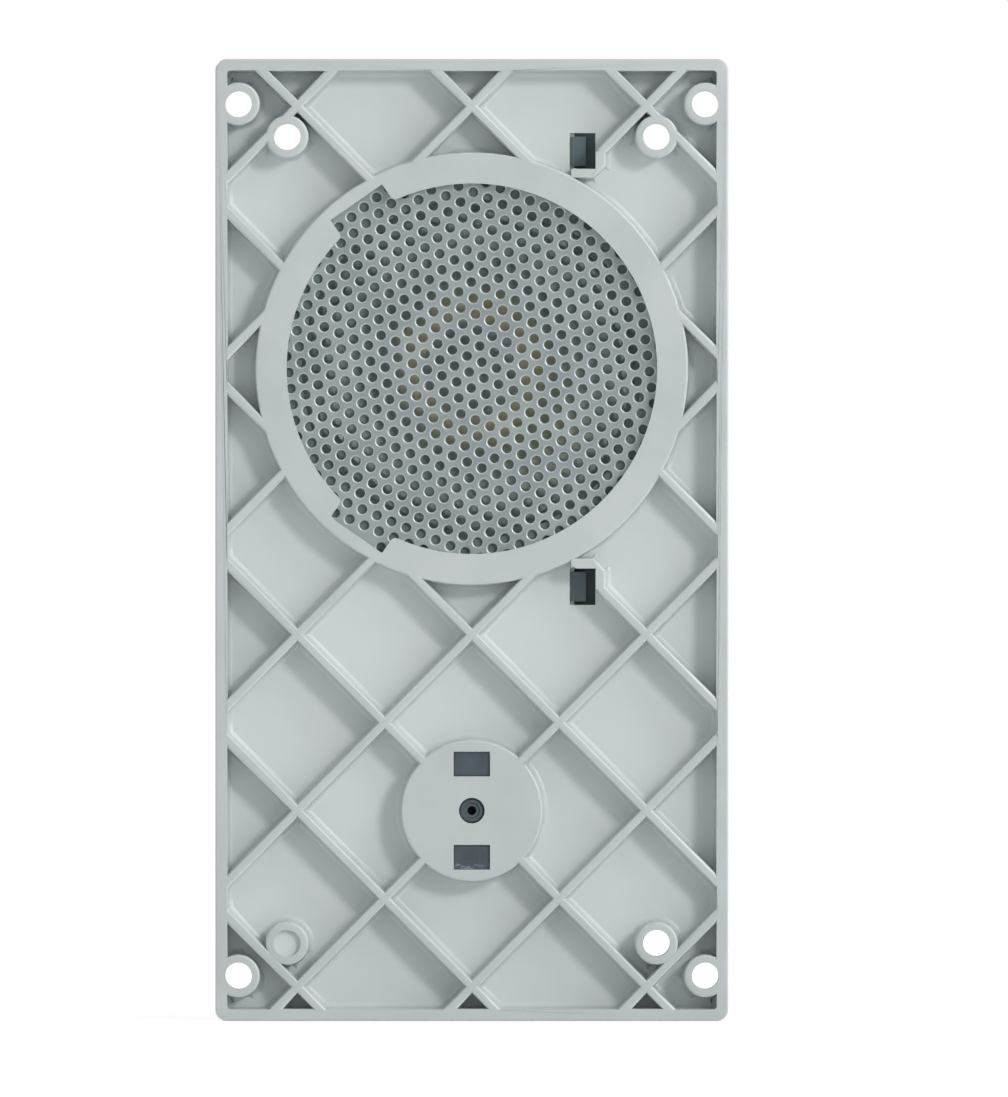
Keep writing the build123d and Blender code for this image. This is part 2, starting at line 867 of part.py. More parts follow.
def gull_leads(x, z, body_half, pitch, per_side, along_x):
    """Two opposite rows of bent leads beside a chip's body."""
    for side in (-1, 1):
        for index in range(per_side):
            run = pitch * (index - (per_side - 1) / 2)
            near = side * body_half
            far = side * (body_half + 1.4)
            foot = side * (body_half + 0.5)
            shoulder = sorted((near, foot))
            toe = sorted((foot - side * 0.25, far))
            width = (run - 0.2, run + 0.2)
            for reach, depth in ((shoulder, (board_back + 0.7, board_back + 0.95)),
                                 (toe, (board_back, board_back + 0.25))):
                spans = (reach, width) if along_x else (width, reach)
                block(
                    (x + spans[0][0], x + spans[0][1]), depth, (z + spans[1][0], z + spans[1][1])
                )
            riser = sorted((foot - side * 0.25, foot))
            spans = (riser, width) if along_x else (width, riser)
            block(
                (x + spans[0][0], x + spans[0][1]),
                (board_back, board_back + 0.95),
                (z + spans[1][0], z + spans[1][1]),
            )


with BuildPart() as amplifier_chip:
    x, z = amplifier_place
    half_x, half_z = amplifier_half
    chip_depth = (board_back + 0.2, board_back + 2.5)
    block((x - half_x, x + half_x), chip_depth, (z - half_z, z + half_z))
    chamfer(amplifier_chip.faces().sort_by(Axis.Y)[-1].edges(), 0.3)
    gull_leads(x, z, half_z, 1.27, 8, False)
finish(amplifier_chip, "amplifier_chip")

with BuildPart() as controller_chip:
    x, z = controller_place
    half = controller_half
    block((x - half, x + half), (board_back + 0.1, board_back + 1.5), (z - half, z + half))
    chamfer(controller_chip.faces().sort_by(Axis.Y)[-1].edges(), 0.2)
    gull_leads(x, z, half, 0.8, 8, False)
    gull_leads(x, z, half, 0.8, 8, True)
finish(controller_chip, "controller_chip")

with BuildPart() as capacitors:
    base_half = capacitor_radius + 0.15
    for x, z in capacitor_places:
        block((x - base_half, x + base_half), (board_back, board_back + 0.8),
              (z - base_half, z + base_half))
        turned(x, z, [
            (0, board_back + 0.8),
            (capacitor_radius, board_back + 0.8),
            (capacitor_radius, board_back + 6.5),
            (capacitor_radius - 0.45, board_back + 7.0),
            (0, board_back + 7.0),
        ])
finish(capacitors, "capacitors")

with BuildPart() as choke:
    turned(*choke_place, [
        (0, board_back),
        (choke_radius, board_back),
        (choke_radius, board_back + 0.9),
        (choke_radius - 0.4, board_back + 1.1),
        (choke_radius - 0.4, board_back + 3.4),
        (choke_radius, board_back + 3.6),
        (choke_radius, board_back + 4.5),
        (0, board_back + 4.5),
    ])
finish(choke, "choke")

with BuildPart() as chip_resistors:
    for column in range(2):
        for row in range(5):
            x = resistor_corner[0] + resistor_pitch[0] * column
            z = resistor_corner[1] + resistor_pitch[1] * row
            block((x - 1.0, x + 1.0), (board_back, board_back + 0.5), (z - 0.6, z + 0.6))
finish(chip_resistors, "chip_resistors")


# Lead connector

socket_bottom = -22.5
socket_top = -16.0
socket_back = board_back + 4.6

with BuildPart() as lead_socket:
    block((socket_x - 3.4, socket_x + 3.4), (board_back, socket_back), (socket_bottom, socket_top))
    block(
        (socket_x - 2.7, socket_x + 2.7),
        (board_back + 0.6, socket_back - 0.6),
        (socket_bottom + 1.0, socket_top + 1.0),
        Mode.SUBTRACT,
    )
finish(lead_socket, "lead_socket")

lead_depth = board_back + 2.3
plug_rear = socket_top + 1.4
with BuildPart() as lead_plug:
    block(
        (socket_x - 2.6, socket_x + 2.6),
        (board_back + 0.7, socket_back - 0.7),
        (socket_bottom + 1.2, plug_rear),
    )
    for side in (-1, 1):
        with Locations((socket_x + side * lead_spread, lead_depth, plug_rear - 1.0)):
            Cylinder(lead_radius, 2.0, mode=Mode.SUBTRACT)
finish(lead_plug, "lead_plug")


def lead_route(index):
    """The points that one speaker wire follows from its plug to its solder tag."""
    side = (-1, 1)[index]
    tag_x, tag_z = tag_centres[index]
    start_x = socket_x + side * lead_spread
    wire_depth = tag_back + lead_radius
    out_x = tag_x - 2.6 - 1.4 * (1 - index)
    return [
        (start_x, lead_depth, plug_rear - 2.0),
        (start_x, lead_depth, housing_top + 2.0 - 0.4 * side),
        (start_x + 1.2, 15.6, housing_top + 8.0 - 0.4 * side),
        (out_x - 0.6, wire_depth + 0.9, tag_z - 4.5),
        (tag_x, wire_depth, tag_z),
    ]


def bend_radii(points):
    """The largest arc that each corner's two runs allow."""
    radii = []
    for before, corner, after in zip(points, points[1:], points[2:]):
        first = Vector(corner) - Vector(before)
        second = Vector(after) - Vector(corner)
        turn = radians(first.get_angle(second))
        radii.append(0.45 * min(first.length, second.length) / tan(turn / 2))
    return radii


with BuildPart() as speaker_leads:
    for index in range(2):
        points = lead_route(index)
        radii = bend_radii(points)
        print("speaker lead bends", [round(radius, 1) for radius in radii])
        with BuildLine() as wire_path:
            FilletPolyline(*points, radius=radii)
        with BuildSketch(wire_path.line ^ 0):
            Circle(lead_radius)
        sweep(path=wire_path.line)
finish(speaker_leads, "speaker_leads")
wire_length = sum(
    (Vector(b) - Vector(a)).length
    for index in range(2)
    for a, b in zip(lead_route(index), lead_route(index)[1:])
)
print("speaker lead volume over section, runs:",
      round(speaker_leads.part.volume / (pi * lead_radius ** 2), 2), round(wire_length, 2))


# Pull-off terminal: header on the board, pins, plug, screws and rising clamps

header_x = (terminal_x - header_size[0] / 2, terminal_x + header_size[0] / 2)
header_span = (header_z - header_size[1] / 2, header_z + header_size[1] / 2)
header_back = board_back + header_size[2]

with BuildPart() as terminal_header:
    block(header_x, (board_back, header_back), header_span)
    block(
        (header_x[0] + header_wall, header_x[1] - header_wall),
        (board_back + 1.6, header_back + 1),
        (header_span[0] + header_wall, header_span[1] - header_wall),
        Mode.SUBTRACT,
    )
    for x in pole_places:
        half = pin_side / 2
        block(
            (x - half, x + half), (board_back - 1, board_back + 2),
            (header_z - half, header_z + half), Mode.SUBTRACT,
        )
finish(terminal_header, "terminal_header")

with BuildPart() as header_pins:
    for x in pole_places:
        half = pin_side / 2
        block((x - half, x + half), (pin_front, header_back - 0.8), (header_z - half, header_z + half))
finish(header_pins, "header_pins")

chamber_front = plug_base + 0.6
chamber_back = plug_back - 2.1
roof_thickness = 0.5
tongue_front = chamber_front + 2.2
tongue_back = tongue_front + 0.4
contact_half = 1.2

with BuildPart() as terminal_plug:
    # Foot that enters the header, and the block that holds the clamps
    foot_gap = header_wall + 0.15
    block(
        (header_x[0] + foot_gap, header_x[1] - foot_gap),
        (board_back + 1.7, plug_base + 0.5),
        (header_span[0] + foot_gap, header_span[1] - foot_gap),
    )
    block(header_x, (plug_base, plug_back), (plug_bottom, plug_top))
    edges = terminal_plug.faces().sort_by(Axis.Y)[-1].edges()
    chamfer(edges, 0.4)
    for x in pole_places:
        # Chamber for the clamp, open at the bottom as the wire entry
        block(
            (x - 1.8, x + 1.8), (chamber_front, chamber_back),
            (plug_bottom - 1, clamp_z + 2.2), Mode.SUBTRACT,
        )
        # Shaft for the contact and its tongue
        block(
            (x - contact_half, x + contact_half), (board_back + 1.7, tongue_back),
            (header_z - contact_half, header_z + contact_half), Mode.SUBTRACT,
        )
        block(
            (x - contact_half, x + contact_half), (tongue_front, tongue_back),
            (clamp_z, header_z + contact_half), Mode.SUBTRACT,
        )
        # Shank hole through the chamber's roof, and the head's bore behind it
        roof_back = chamber_back + roof_thickness
        drilled(x, clamp_z, terminal_screw_radius + running_gap, chamber_back - 0.5, roof_back)
        drilled(x, clamp_z, terminal_head_radius + running_gap, roof_back, plug_back + 1)
finish(terminal_plug, "terminal_plug")

with BuildPart() as plug_contacts:
    for x in pole_places:
        block(
            (x - contact_half, x + contact_half), (board_back + 2.0, tongue_back),
            (header_z - contact_half, header_z + contact_half),
        )
        block(
            (x - 0.65, x + 0.65), (board_back + 1, header_back - 0.4),
            (header_z - 0.65, header_z + 0.65), Mode.SUBTRACT,
        )
        block(
            (x - 1.1, x + 1.1), (tongue_front, tongue_back), (clamp_z - 1.9, header_z),
        )
finish(plug_contacts, "plug_contacts")

clamp_wall = 0.5
for index, x in enumerate(pole_places):
    with BuildPart() as terminal_clamp:
        half_x, half_z = clamp_size[0] / 2, clamp_size[1] / 2
        low, high = chamber_front + 0.1, chamber_front + 0.1 + clamp_size[2]
        block((x - half_x, x + half_x), (low, high), (clamp_z - half_z, clamp_z + half_z))
        block(
            (x - half_x + clamp_wall, x + half_x - clamp_wall), (low + 0.6, high - 0.7),
            (clamp_z - half_z - 1, clamp_z + half_z + 1), Mode.SUBTRACT,
        )
        drilled(x, clamp_z, terminal_screw_radius + running_gap, high - 1, high + 1)
    finish(terminal_clamp, f"terminal_clamp_{index + 1}")

    with BuildPart() as terminal_screw:
        head_back = plug_back - 0.3
        turned(x, clamp_z, [
            (0, tongue_back + 0.05),
            (terminal_screw_radius, tongue_back + 0.05),
            (terminal_screw_radius, chamber_back + roof_thickness + 0.05),
            (terminal_head_radius, chamber_back + roof_thickness + 0.05),
            (terminal_head_radius, head_back - 0.2),
            (terminal_head_radius - 0.2, head_back),
            (0, head_back),
        ])
        block((x - 2, x + 2), (head_back - 0.7, head_back + 1), (clamp_z - 0.25, clamp_z + 0.25),
              Mode.SUBTRACT)
    finish(terminal_screw, f"terminal_screw_{index + 1}")


# Trimmers and setting switch

socket_floor = board_back + 1.0
trimmer_back = board_back + 4.4
stem_back = housing_back - 0.3
for name, x in zip(("volume", "mic"), trimmer_x):
    with BuildPart() as trimmer_base:
        half = trimmer_side / 2
        block((x - half, x + half), (board_back, trimmer_back),
              (trimmer_z - half, trimmer_z + half))
        chamfer(trimmer_base.edges().filter_by(Axis.Y), 0.8)
        drilled(x, trimmer_z, stem_radius + running_gap, socket_floor, trimmer_back + 1)
    finish(trimmer_base, f"{name}_trimmer_base")

    with BuildPart() as trimmer_rotor:
        turned(x, trimmer_z, [
            (0, socket_floor + 0.1),
            (stem_radius, socket_floor + 0.1),
            (stem_radius, stem_back - 0.3),
            (stem_radius - 0.3, stem_back),
            (0, stem_back),
        ])
        block((x - 0.4, x + 0.4), (stem_back - 1.2, stem_back + 1),
              (trimmer_z - 1.9, trimmer_z + 1.9), Mode.SUBTRACT)
        block((x - 0.25, x + 0.25), (stem_back - 0.4, stem_back + 1),
              (trimmer_z + 1.5, trimmer_z + 3), Mode.SUBTRACT)
    finish(trimmer_rotor, f"{name}_trimmer_rotor")

dip_back = board_back + dip_size[2]
slider_rows = [dip_z + slider_pitch * (index - (slider_count - 1) / 2) for index in range(slider_count)]
slot_half = 1.9
slider_travel = 1.6

with BuildPart() as dip_switch_body:
    block((dip_x - dip_size[0] / 2, dip_x + dip_size[0] / 2), (board_back, dip_back),
          (dip_z - dip_size[1] / 2, dip_z + dip_size[1] / 2))
    for z in slider_rows:
        block((dip_x - slot_half, dip_x + slot_half), (dip_back - 1.6, dip_back + 1),
              (z - 0.65, z + 0.65), Mode.SUBTRACT)
finish(dip_switch_body, "dip_switch_body")

for index, z in enumerate(slider_rows):
    with BuildPart() as dip_slider:
        left = dip_x - slot_half + 0.1
        width = 2 * slot_half - 0.2 - slider_travel
        block((left, left + width), (dip_back - 1.5, dip_back - 0.5), (z - 0.6, z + 0.6))
        middle = left + width / 2
        block((middle - 0.6, middle + 0.6), (dip_back - 1.0, dip_back + 0.4), (z - 0.5, z + 0.5))
    finish(dip_slider, f"dip_slider_{index + 1}")


# Rear housing over the electronics

recess_x = (header_x[0] - 1.1, header_x[1] + 1.1)
recess_top = plug_top + 1.5
outlet_half = 4.0
seat_floor = housing_back - seat_depth

with BuildPart() as rear_housing:
    centre_z = (housing_bottom + housing_top) / 2
    height = housing_top - housing_bottom
    with BuildSketch(front_plane(housing_back)):
        with Locations((0, centre_z)):
            RectangleRounded(2 * housing_half_width, height, housing_corner)
    extrude(amount=housing_back - plate_depth)
    chamfer(rear_housing.faces().sort_by(Axis.Y)[-1].edges(), 0.8)
    with BuildSketch(front_plane(housing_back - housing_wall)):
        with Locations((0, centre_z)):
            RectangleRounded(2 * (housing_half_width - housing_wall), height - 2 * housing_wall,
                             housing_corner - housing_wall)
    extrude(amount=housing_back - housing_wall - plate_depth, mode=Mode.SUBTRACT)
    for x, z in housing_posts:
        rod(x, z, post_radius, board_back, housing_back - 0.5)
    # Walls round the terminal recess, then the recess through the back and the bottom
    block((recess_x[0] - 1.2, recess_x[1] + 1.2), (header_back + 0.4, housing_back - 0.5),
          (housing_bottom + 0.9, recess_top + 1.2))
    block(recess_x, (header_back - 0.5, housing_back + 1), (housing_bottom - 1, recess_top),
          Mode.SUBTRACT)
    # Outlet for the speaker leads
    block((socket_x - outlet_half, socket_x + outlet_half), (lead_depth - 1.8, lead_depth + 1.8),
          (housing_top - 3, housing_top + 1), Mode.SUBTRACT)
    # Screw seats
    for x, z in housing_posts:
        drilled(x, z, screw_radius + 0.25, board_back - 1, housing_back + 1)
        drilled(x, z, post_radius - 0.1, seat_floor, housing_back + 1)
    # Openings over the trimmers and the switch, and a field of louvres
    for x in trimmer_x:
        drilled(x, trimmer_z, stem_radius + 0.4, board_back, housing_back + 1)
    block((dip_x - 3.9, dip_x + 3.9), (dip_back + 0.5, housing_back + 1),
          (dip_z - 6.4, dip_z + 6.4), Mode.SUBTRACT)
    for row in range(louvre_count):
        with BuildSketch(front_plane(housing_back)):
            with Locations((louvre_field[0], louvre_field[1] - louvre_pitch * row)):
                SlotOverall(*louvre_size)
        extrude(amount=housing_wall + 0.5, mode=Mode.SUBTRACT)
finish(rear_housing, "rear_housing")

with BuildPart() as housing_screws:
    for x, z in housing_posts:
        pan_screw(x, z, 2.6, seat_floor, 1.9, plate_depth + 1.0)
finish(housing_screws, "housing_screws")
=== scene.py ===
"""Looks of a built-in intercom audio module, in metres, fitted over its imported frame.

X runs to the right as seen from the ribbed front, Z up the long side and +Y to the rear.
Lengths are written in millimetres and turned to metres where a mesh is made.
"""

import json
import math
from contextlib import contextmanager

import bmesh
import bpy
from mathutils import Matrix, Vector
from mathutils.bvhtree import BVHTree

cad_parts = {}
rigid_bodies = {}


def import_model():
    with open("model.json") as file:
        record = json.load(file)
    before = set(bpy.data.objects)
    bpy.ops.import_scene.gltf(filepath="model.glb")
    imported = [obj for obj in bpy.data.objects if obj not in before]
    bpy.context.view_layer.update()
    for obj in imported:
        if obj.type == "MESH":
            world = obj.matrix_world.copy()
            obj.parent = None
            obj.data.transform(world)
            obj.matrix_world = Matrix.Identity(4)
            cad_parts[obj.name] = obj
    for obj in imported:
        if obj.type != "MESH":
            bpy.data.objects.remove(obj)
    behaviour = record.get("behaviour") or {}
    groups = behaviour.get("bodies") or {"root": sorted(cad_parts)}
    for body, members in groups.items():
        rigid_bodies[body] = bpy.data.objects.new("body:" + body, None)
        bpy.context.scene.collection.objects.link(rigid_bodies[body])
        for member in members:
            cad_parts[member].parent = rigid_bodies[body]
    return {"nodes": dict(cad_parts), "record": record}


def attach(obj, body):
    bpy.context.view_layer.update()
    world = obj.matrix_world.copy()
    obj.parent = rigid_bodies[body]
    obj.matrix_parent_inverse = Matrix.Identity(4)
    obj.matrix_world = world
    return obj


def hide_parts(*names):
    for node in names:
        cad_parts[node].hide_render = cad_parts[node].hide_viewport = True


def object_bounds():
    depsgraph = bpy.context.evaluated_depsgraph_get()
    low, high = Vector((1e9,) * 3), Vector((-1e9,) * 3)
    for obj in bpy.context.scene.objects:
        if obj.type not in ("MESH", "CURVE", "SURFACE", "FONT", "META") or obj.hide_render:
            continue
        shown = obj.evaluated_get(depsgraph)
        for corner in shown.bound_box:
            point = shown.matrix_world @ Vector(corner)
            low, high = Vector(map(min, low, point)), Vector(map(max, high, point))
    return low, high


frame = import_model()
cad_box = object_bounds()
bpy.ops.object.select_all(action="DESELECT")
MM = 0.001

# Places shared with the solids, in millimetres
SPEAKER_Z = 26.7
MIC_Z = -42.2
FLOOR_FRONT = 5.5
LATCH_X = 17.3
LATCH_REACH = 34.0
EDGE_BREAK = 0.2

# Points of a mesh closer than this, in metres, are one point
MERGE_DISTANCE = 2e-6


# Mesh work

@contextmanager
def edit(piece):
    """Edit mode on one piece, with nothing selected at the start."""
    bpy.ops.object.select_all(action="DESELECT")
    piece.select_set(True)
    bpy.context.view_layer.objects.active = piece
    bpy.ops.object.mode_set(mode="EDIT")
    bpy.ops.mesh.select_all(action="DESELECT")
    yield
    bpy.ops.object.mode_set(mode="OBJECT")


def pick(piece, kind, test):
    """In edit mode, selects the verts, edges or faces that pass a test and nothing else."""
    bpy.ops.mesh.select_mode(type={"verts": "VERT", "edges": "EDGE", "faces": "FACE"}[kind])
    bpy.ops.mesh.select_all(action="DESELECT")
    mesh = bmesh.from_edit_mesh(piece.data)
    for element in getattr(mesh, kind):
        if test(element):
            element.select_set(True)
    mesh.select_flush_mode()
    bmesh.update_edit_mesh(piece.data)


def middle(element):
    """The middle of an edge or face, in millimetres."""
    corners = [corner.co for corner in element.verts]
    return sum(corners, Vector()) / len(corners) / MM


def point(x, y, z):
    """A point or step given in millimetres, in metres."""
    return Vector((x, y, z)) * MM


def turned(name, x, z, outline, steps, closed=True):
    """Spins (radius, depth) points in millimetres about the axis along Y through (x, z)."""
    bpy.ops.mesh.primitive_plane_add(size=MM)
    piece = bpy.context.object
    piece.name = name
    with edit(piece):
        bpy.ops.mesh.select_all(action="SELECT")
        bpy.ops.mesh.merge(type="CENTER")
        bpy.ops.transform.translate(value=point(x + outline[0][0], outline[0][1], z))
        for start, end in zip(outline, outline[1:]):
            step = point(end[0] - start[0], end[1] - start[1], 0)
            bpy.ops.mesh.extrude_region_move(TRANSFORM_OT_translate={"value": step})
        if closed:
            mesh = bmesh.from_edit_mesh(piece.data)
            ends = [vert for vert in mesh.verts if len(vert.link_edges) == 1]
            for vert in ends:
                vert.select_set(True)
            bmesh.update_edit_mesh(piece.data)
            bpy.ops.mesh.edge_face_add()
        bpy.ops.mesh.select_all(action="SELECT")
        bpy.ops.mesh.spin(
            steps=steps, angle=2 * math.pi, center=point(x, 0, z), axis=(0, 1, 0)
        )
        bpy.ops.mesh.select_all(action="SELECT")
        bpy.ops.mesh.remove_doubles(threshold=MERGE_DISTANCE)
        bpy.ops.mesh.normals_make_consistent(inside=False)
    return piece


def block(name, low, high):
    """A box between two corners in millimetres, to cut with."""
    bpy.ops.mesh.primitive_cube_add(size=1)
    piece = bpy.context.object
    piece.name = name
    with edit(piece):
        bpy.ops.mesh.select_all(action="SELECT")
        bpy.ops.transform.resize(value=[(b - a) * MM for a, b in zip(low, high)])
        bpy.ops.transform.translate(value=point(*[(a + b) / 2 for a, b in zip(low, high)]))
    return piece


def joined(name, pieces):
    """Several pieces made one."""
    bpy.ops.object.select_all(action="DESELECT")
    for piece in pieces:
        piece.select_set(True)
    bpy.context.view_layer.objects.active = pieces[0]
    bpy.ops.object.join()
    pieces[0].name = name
    return pieces[0]


def smooth(piece, degrees=40, weighted=True):
    """Smooth shading up to an angle, with flat faces kept flat."""
    bpy.ops.object.select_all(action="DESELECT")
    piece.select_set(True)
    bpy.context.view_layer.objects.active = piece
    bpy.ops.object.shade_smooth_by_angle(angle=math.radians(degrees))
    if weighted:
        modifier = piece.modifiers.new("weighted", "WEIGHTED_NORMAL")
        modifier.keep_sharp = True
        bpy.ops.object.modifier_apply(modifier=modifier.name)


def skin(node):
    """A copy of a solid's mesh made one skin."""
    source = frame["nodes"][node]
    piece = bpy.data.objects.new(f"{node}_skin", source.data.copy())
    bpy.context.scene.collection.objects.link(piece)
    piece.data.materials.clear()
    with edit(piece):
        bpy.ops.mesh.select_all(action="SELECT")
        bpy.ops.mesh.customdata_custom_splitnormals_clear()
        bpy.ops.mesh.remove_doubles(threshold=MERGE_DISTANCE)
    return piece


def engraved(piece, cutters):
    """Cuts several small shapes out of a piece's skin."""
    tool = joined("engraving", cutters)
    cut = piece.modifiers.new("engraving", "BOOLEAN")
    cut.operation = "DIFFERENCE"
    cut.object = tool
    bpy.ops.object.select_all(action="DESELECT")
    bpy.context.view_layer.objects.active = piece
    bpy.ops.object.modifier_apply(modifier=cut.name)
    bpy.data.objects.remove(tool)
    return piece


def moulding(node):
    """A moulded or pressed piece taken from its solid, with its broken edges shaded round."""
    piece = skin(node)
    smooth(piece, 50)
    return piece


# The body that each node of the solids moves with
body_of = {
    node: body
    for body, nodes in frame["record"]["behaviour"]["bodies"].items()
    for node in nodes
}


# Materials

def colour(hex_code):
    """An sRGB hex value as a linear colour."""
    channels = [int(hex_code[i:i + 2], 16) / 255 for i in (0, 2, 4)]
    linear = [c / 12.92 if c <= 0.04045 else ((c + 0.055) / 1.055) ** 2.4 for c in channels]
    return (*linear, 1.0)


def add(tree, kind, inputs=None, **settings):
    """Adds a node with its settings, and sets or links its inputs."""
    node = tree.nodes.new(kind)
    for name, value in settings.items():
        setattr(node, name, value)
    for socket, value in (inputs or {}).items():
        if isinstance(value, bpy.types.NodeSocket):
            tree.links.new(value, node.inputs[socket])
        else:
            node.inputs[socket].default_value = value
    return node


def finish(name, base, **sockets):
    """A new material with its node tree, its main shader and the object's own coordinates."""
    material = bpy.data.materials.new(name)
    material.use_nodes = True
    tree = material.node_tree
    shader = tree.nodes["Principled BSDF"]
    shader.inputs["Base Color"].default_value = colour(base)
    for socket, value in sockets.items():
        shader.inputs[socket.replace("_", " ")].default_value = value
    place = add(tree, "ShaderNodeTexCoord").outputs["Object"]
    return material, tree, shader, place


def mottled(tree, place, first, second, size):
    """Soft patches of two colours; size is the patch width in millimetres."""
    noise = add(tree, "ShaderNodeTexNoise", {"Vector": place, "Scale": 1000 / size, "Detail": 3.0})
    ramp = add(tree, "ShaderNodeValToRGB", {"Fac": noise.outputs["Fac"]})
    ramp.color_ramp.elements[0].position = 0.35
    ramp.color_ramp.elements[1].position = 0.65
    ramp.color_ramp.elements[0].color = colour(first)
    ramp.color_ramp.elements[1].color = colour(second)
    return ramp.outputs["Color"]


def grained(tree, shader, place, size, depth):
    """A fine relief on the surface; size is the grain width and depth its height, in millimetres."""
    noise = add(tree, "ShaderNodeTexNoise", {"Vector": place, "Scale": 1000 / size, "Detail": 2.0})
    bump = add(tree, "ShaderNodeBump", {"Height": noise.outputs["Fac"], "Distance": depth * MM})
    tree.links.new(bump.outputs["Normal"], shader.inputs["Normal"])


def uneven_gloss(tree, shader, place, size, low, high):
    """Roughness that drifts between two values over patches of a size in millimetres."""
    noise = add(tree, "ShaderNodeTexNoise", {"Vector": place, "Scale": 1000 / size, "Detail": 2.0})
    spread = add(tree, "ShaderNodeMapRange", {
        "Value": noise.outputs["Fac"], "From Min": 0.3, "From Max": 0.7, "To Min": low, "To Max": high,
    })
    tree.links.new(spread.outputs["Result"], shader.inputs["Roughness"])


# Marks on the plate's skin: painted shade darkens it fully down to the first depth behind the bearing plane,
# and not at all from the second on
TOP_SHADE_DEPTH = (0.02, 0.1)
# Steps from one ejector pin to the next, across and up, and the furthest that one is from the middle
PIN_PITCH = (27.2, 27.46)
PIN_REACH = 30
# Radii between which a pin's ring starts to show and between which it ends
PIN_RING = ((1.9, 2.0), (2.1, 2.2))
# Whatever is deeper than this is on the rear face
REAR_FROM = 7.4
# Width of a cell of dust, a speck's radius as a share of it, and the share of cells that have none
SPECK_PITCH = 7
SPECK_SIZE = 0.024
SPECK_FREE = 0.9


def moulded_abs():
    """Light grey ABS, moulded in a spark-eroded tool: a dull, slightly cloudy, pale skin."""
    material, tree, shader, place = finish("light_grey_moulded_abs", "c6cccd", IOR=1.53)
    patches = mottled(tree, place, "c3c9cb", "c9cfd0", 22)
    # Painted shade: the faces that bear on the panel are coloured a shade darker than the floors
    painted_top_shade = mottled(tree, place, "b0b7b7", "b8bebf", 14)
    depth = add(tree, "ShaderNodeSeparateXYZ", {"Vector": place})
    bearing = add(tree, "ShaderNodeMapRange", {
        "Value": depth.outputs["Y"], "From Min": TOP_SHADE_DEPTH[0] * MM, "From Max": TOP_SHADE_DEPTH[1] * MM,
        "To Min": 1.0, "To Max": 0.0,
    })
    skin_colour = add(tree, "ShaderNodeMix", {
        "Factor": bearing.outputs["Result"], "A": patches, "B": painted_top_shade,
    }, data_type="RGBA")
    # Rings of 4 mm that the ejector pins left on the rear face, one behind each crossing of the ribs
    cell = add(tree, "ShaderNodeVectorMath", {
        0: place, 1: (PIN_PITCH[0] * MM, 1, PIN_PITCH[1] * MM), 2: (0, 0, 0),
    }, operation="SNAP")
    from_pin = add(tree, "ShaderNodeVectorMath", {0: place, 1: cell.outputs["Vector"]}, operation="SUBTRACT")
    centred = add(tree, "ShaderNodeVectorMath", {
        0: from_pin.outputs["Vector"], 1: (PIN_PITCH[0] / 2 * MM, 0, PIN_PITCH[1] / 2 * MM),
    }, operation="SUBTRACT")
    flat = add(tree, "ShaderNodeVectorMath", {
        0: centred.outputs["Vector"], 1: (1, 0, 1),
    }, operation="MULTIPLY")
    pin = add(tree, "ShaderNodeVectorMath", {0: flat.outputs["Vector"]}, operation="LENGTH")
    rise, fall = PIN_RING
    ring = add(tree, "ShaderNodeMapRange", {
        "Value": pin.outputs["Value"], "From Min": rise[0] * MM, "From Max": rise[1] * MM,
    })
    outer = add(tree, "ShaderNodeMapRange", {
        "Value": pin.outputs["Value"], "From Min": fall[0] * MM, "From Max": fall[1] * MM,
        "To Min": 1.0, "To Max": 0.0,
    })
    line = add(tree, "ShaderNodeMath", {
        0: ring.outputs["Result"], 1: outer.outputs["Result"],
    }, operation="MULTIPLY")
    rear = add(tree, "ShaderNodeMath", {0: depth.outputs["Y"], 1: REAR_FROM * MM}, operation="GREATER_THAN")
    across = add(tree, "ShaderNodeMath", {0: depth.outputs["X"]}, operation="ABSOLUTE")
    inner = add(tree, "ShaderNodeMath", {0: across.outputs[0], 1: PIN_REACH * MM}, operation="LESS_THAN")
    behind = add(tree, "ShaderNodeMath", {0: rear.outputs[0], 1: inner.outputs[0]}, operation="MULTIPLY")
    witness = add(tree, "ShaderNodeMath", {0: line.outputs[0], 1: behind.outputs[0]}, operation="MULTIPLY")
    marked = add(tree, "ShaderNodeMath", {0: witness.outputs[0], 1: 0.35}, operation="MULTIPLY")
    pinned = add(tree, "ShaderNodeMix", {
        "Factor": marked.outputs[0], "A": skin_colour.outputs["Result"], "B": colour("8f9696"),
    }, data_type="RGBA")
    # Specks of dust, about 0.3 mm across and some centimetres apart
    cells = add(tree, "ShaderNodeTexVoronoi", {"Vector": place, "Scale": 1000 / SPECK_PITCH})
    small = add(tree, "ShaderNodeMath", {0: cells.outputs["Distance"], 1: SPECK_SIZE}, operation="LESS_THAN")
    tint = add(tree, "ShaderNodeSeparateColor", {"Color": cells.outputs["Color"]})
    rare = add(tree, "ShaderNodeMath", {0: tint.outputs["Red"], 1: SPECK_FREE}, operation="GREATER_THAN")
    speck = add(tree, "ShaderNodeMath", {0: small.outputs[0], 1: rare.outputs[0]}, operation="MULTIPLY")
    dusty = add(tree, "ShaderNodeMix", {
        "Factor": speck.outputs[0], "A": pinned.outputs["Result"], "B": colour("7d8584"),
    }, data_type="RGBA")
    tree.links.new(dusty.outputs["Result"], shader.inputs["Base Color"])
    # The tool's grain is about 0.1 mm, drawn at 0.35 mm so that it shows
    grained(tree, shader, place, 0.35, 0.004)
    uneven_gloss(tree, shader, place, 9, 0.34, 0.42)
    return material


def plain(name, base, other, size, roughness, grain=0.3, depth=0.004, **sockets):
    """A dull or satin skin of two close colours with a fine grain."""
    material, tree, shader, place = finish(name, base, **sockets)
    patches = mottled(tree, place, base, other, size)
    tree.links.new(patches, shader.inputs["Base Color"])
    grained(tree, shader, place, grain, depth)
    uneven_gloss(tree, shader, place, size, roughness - 0.06, roughness + 0.06)
    return material


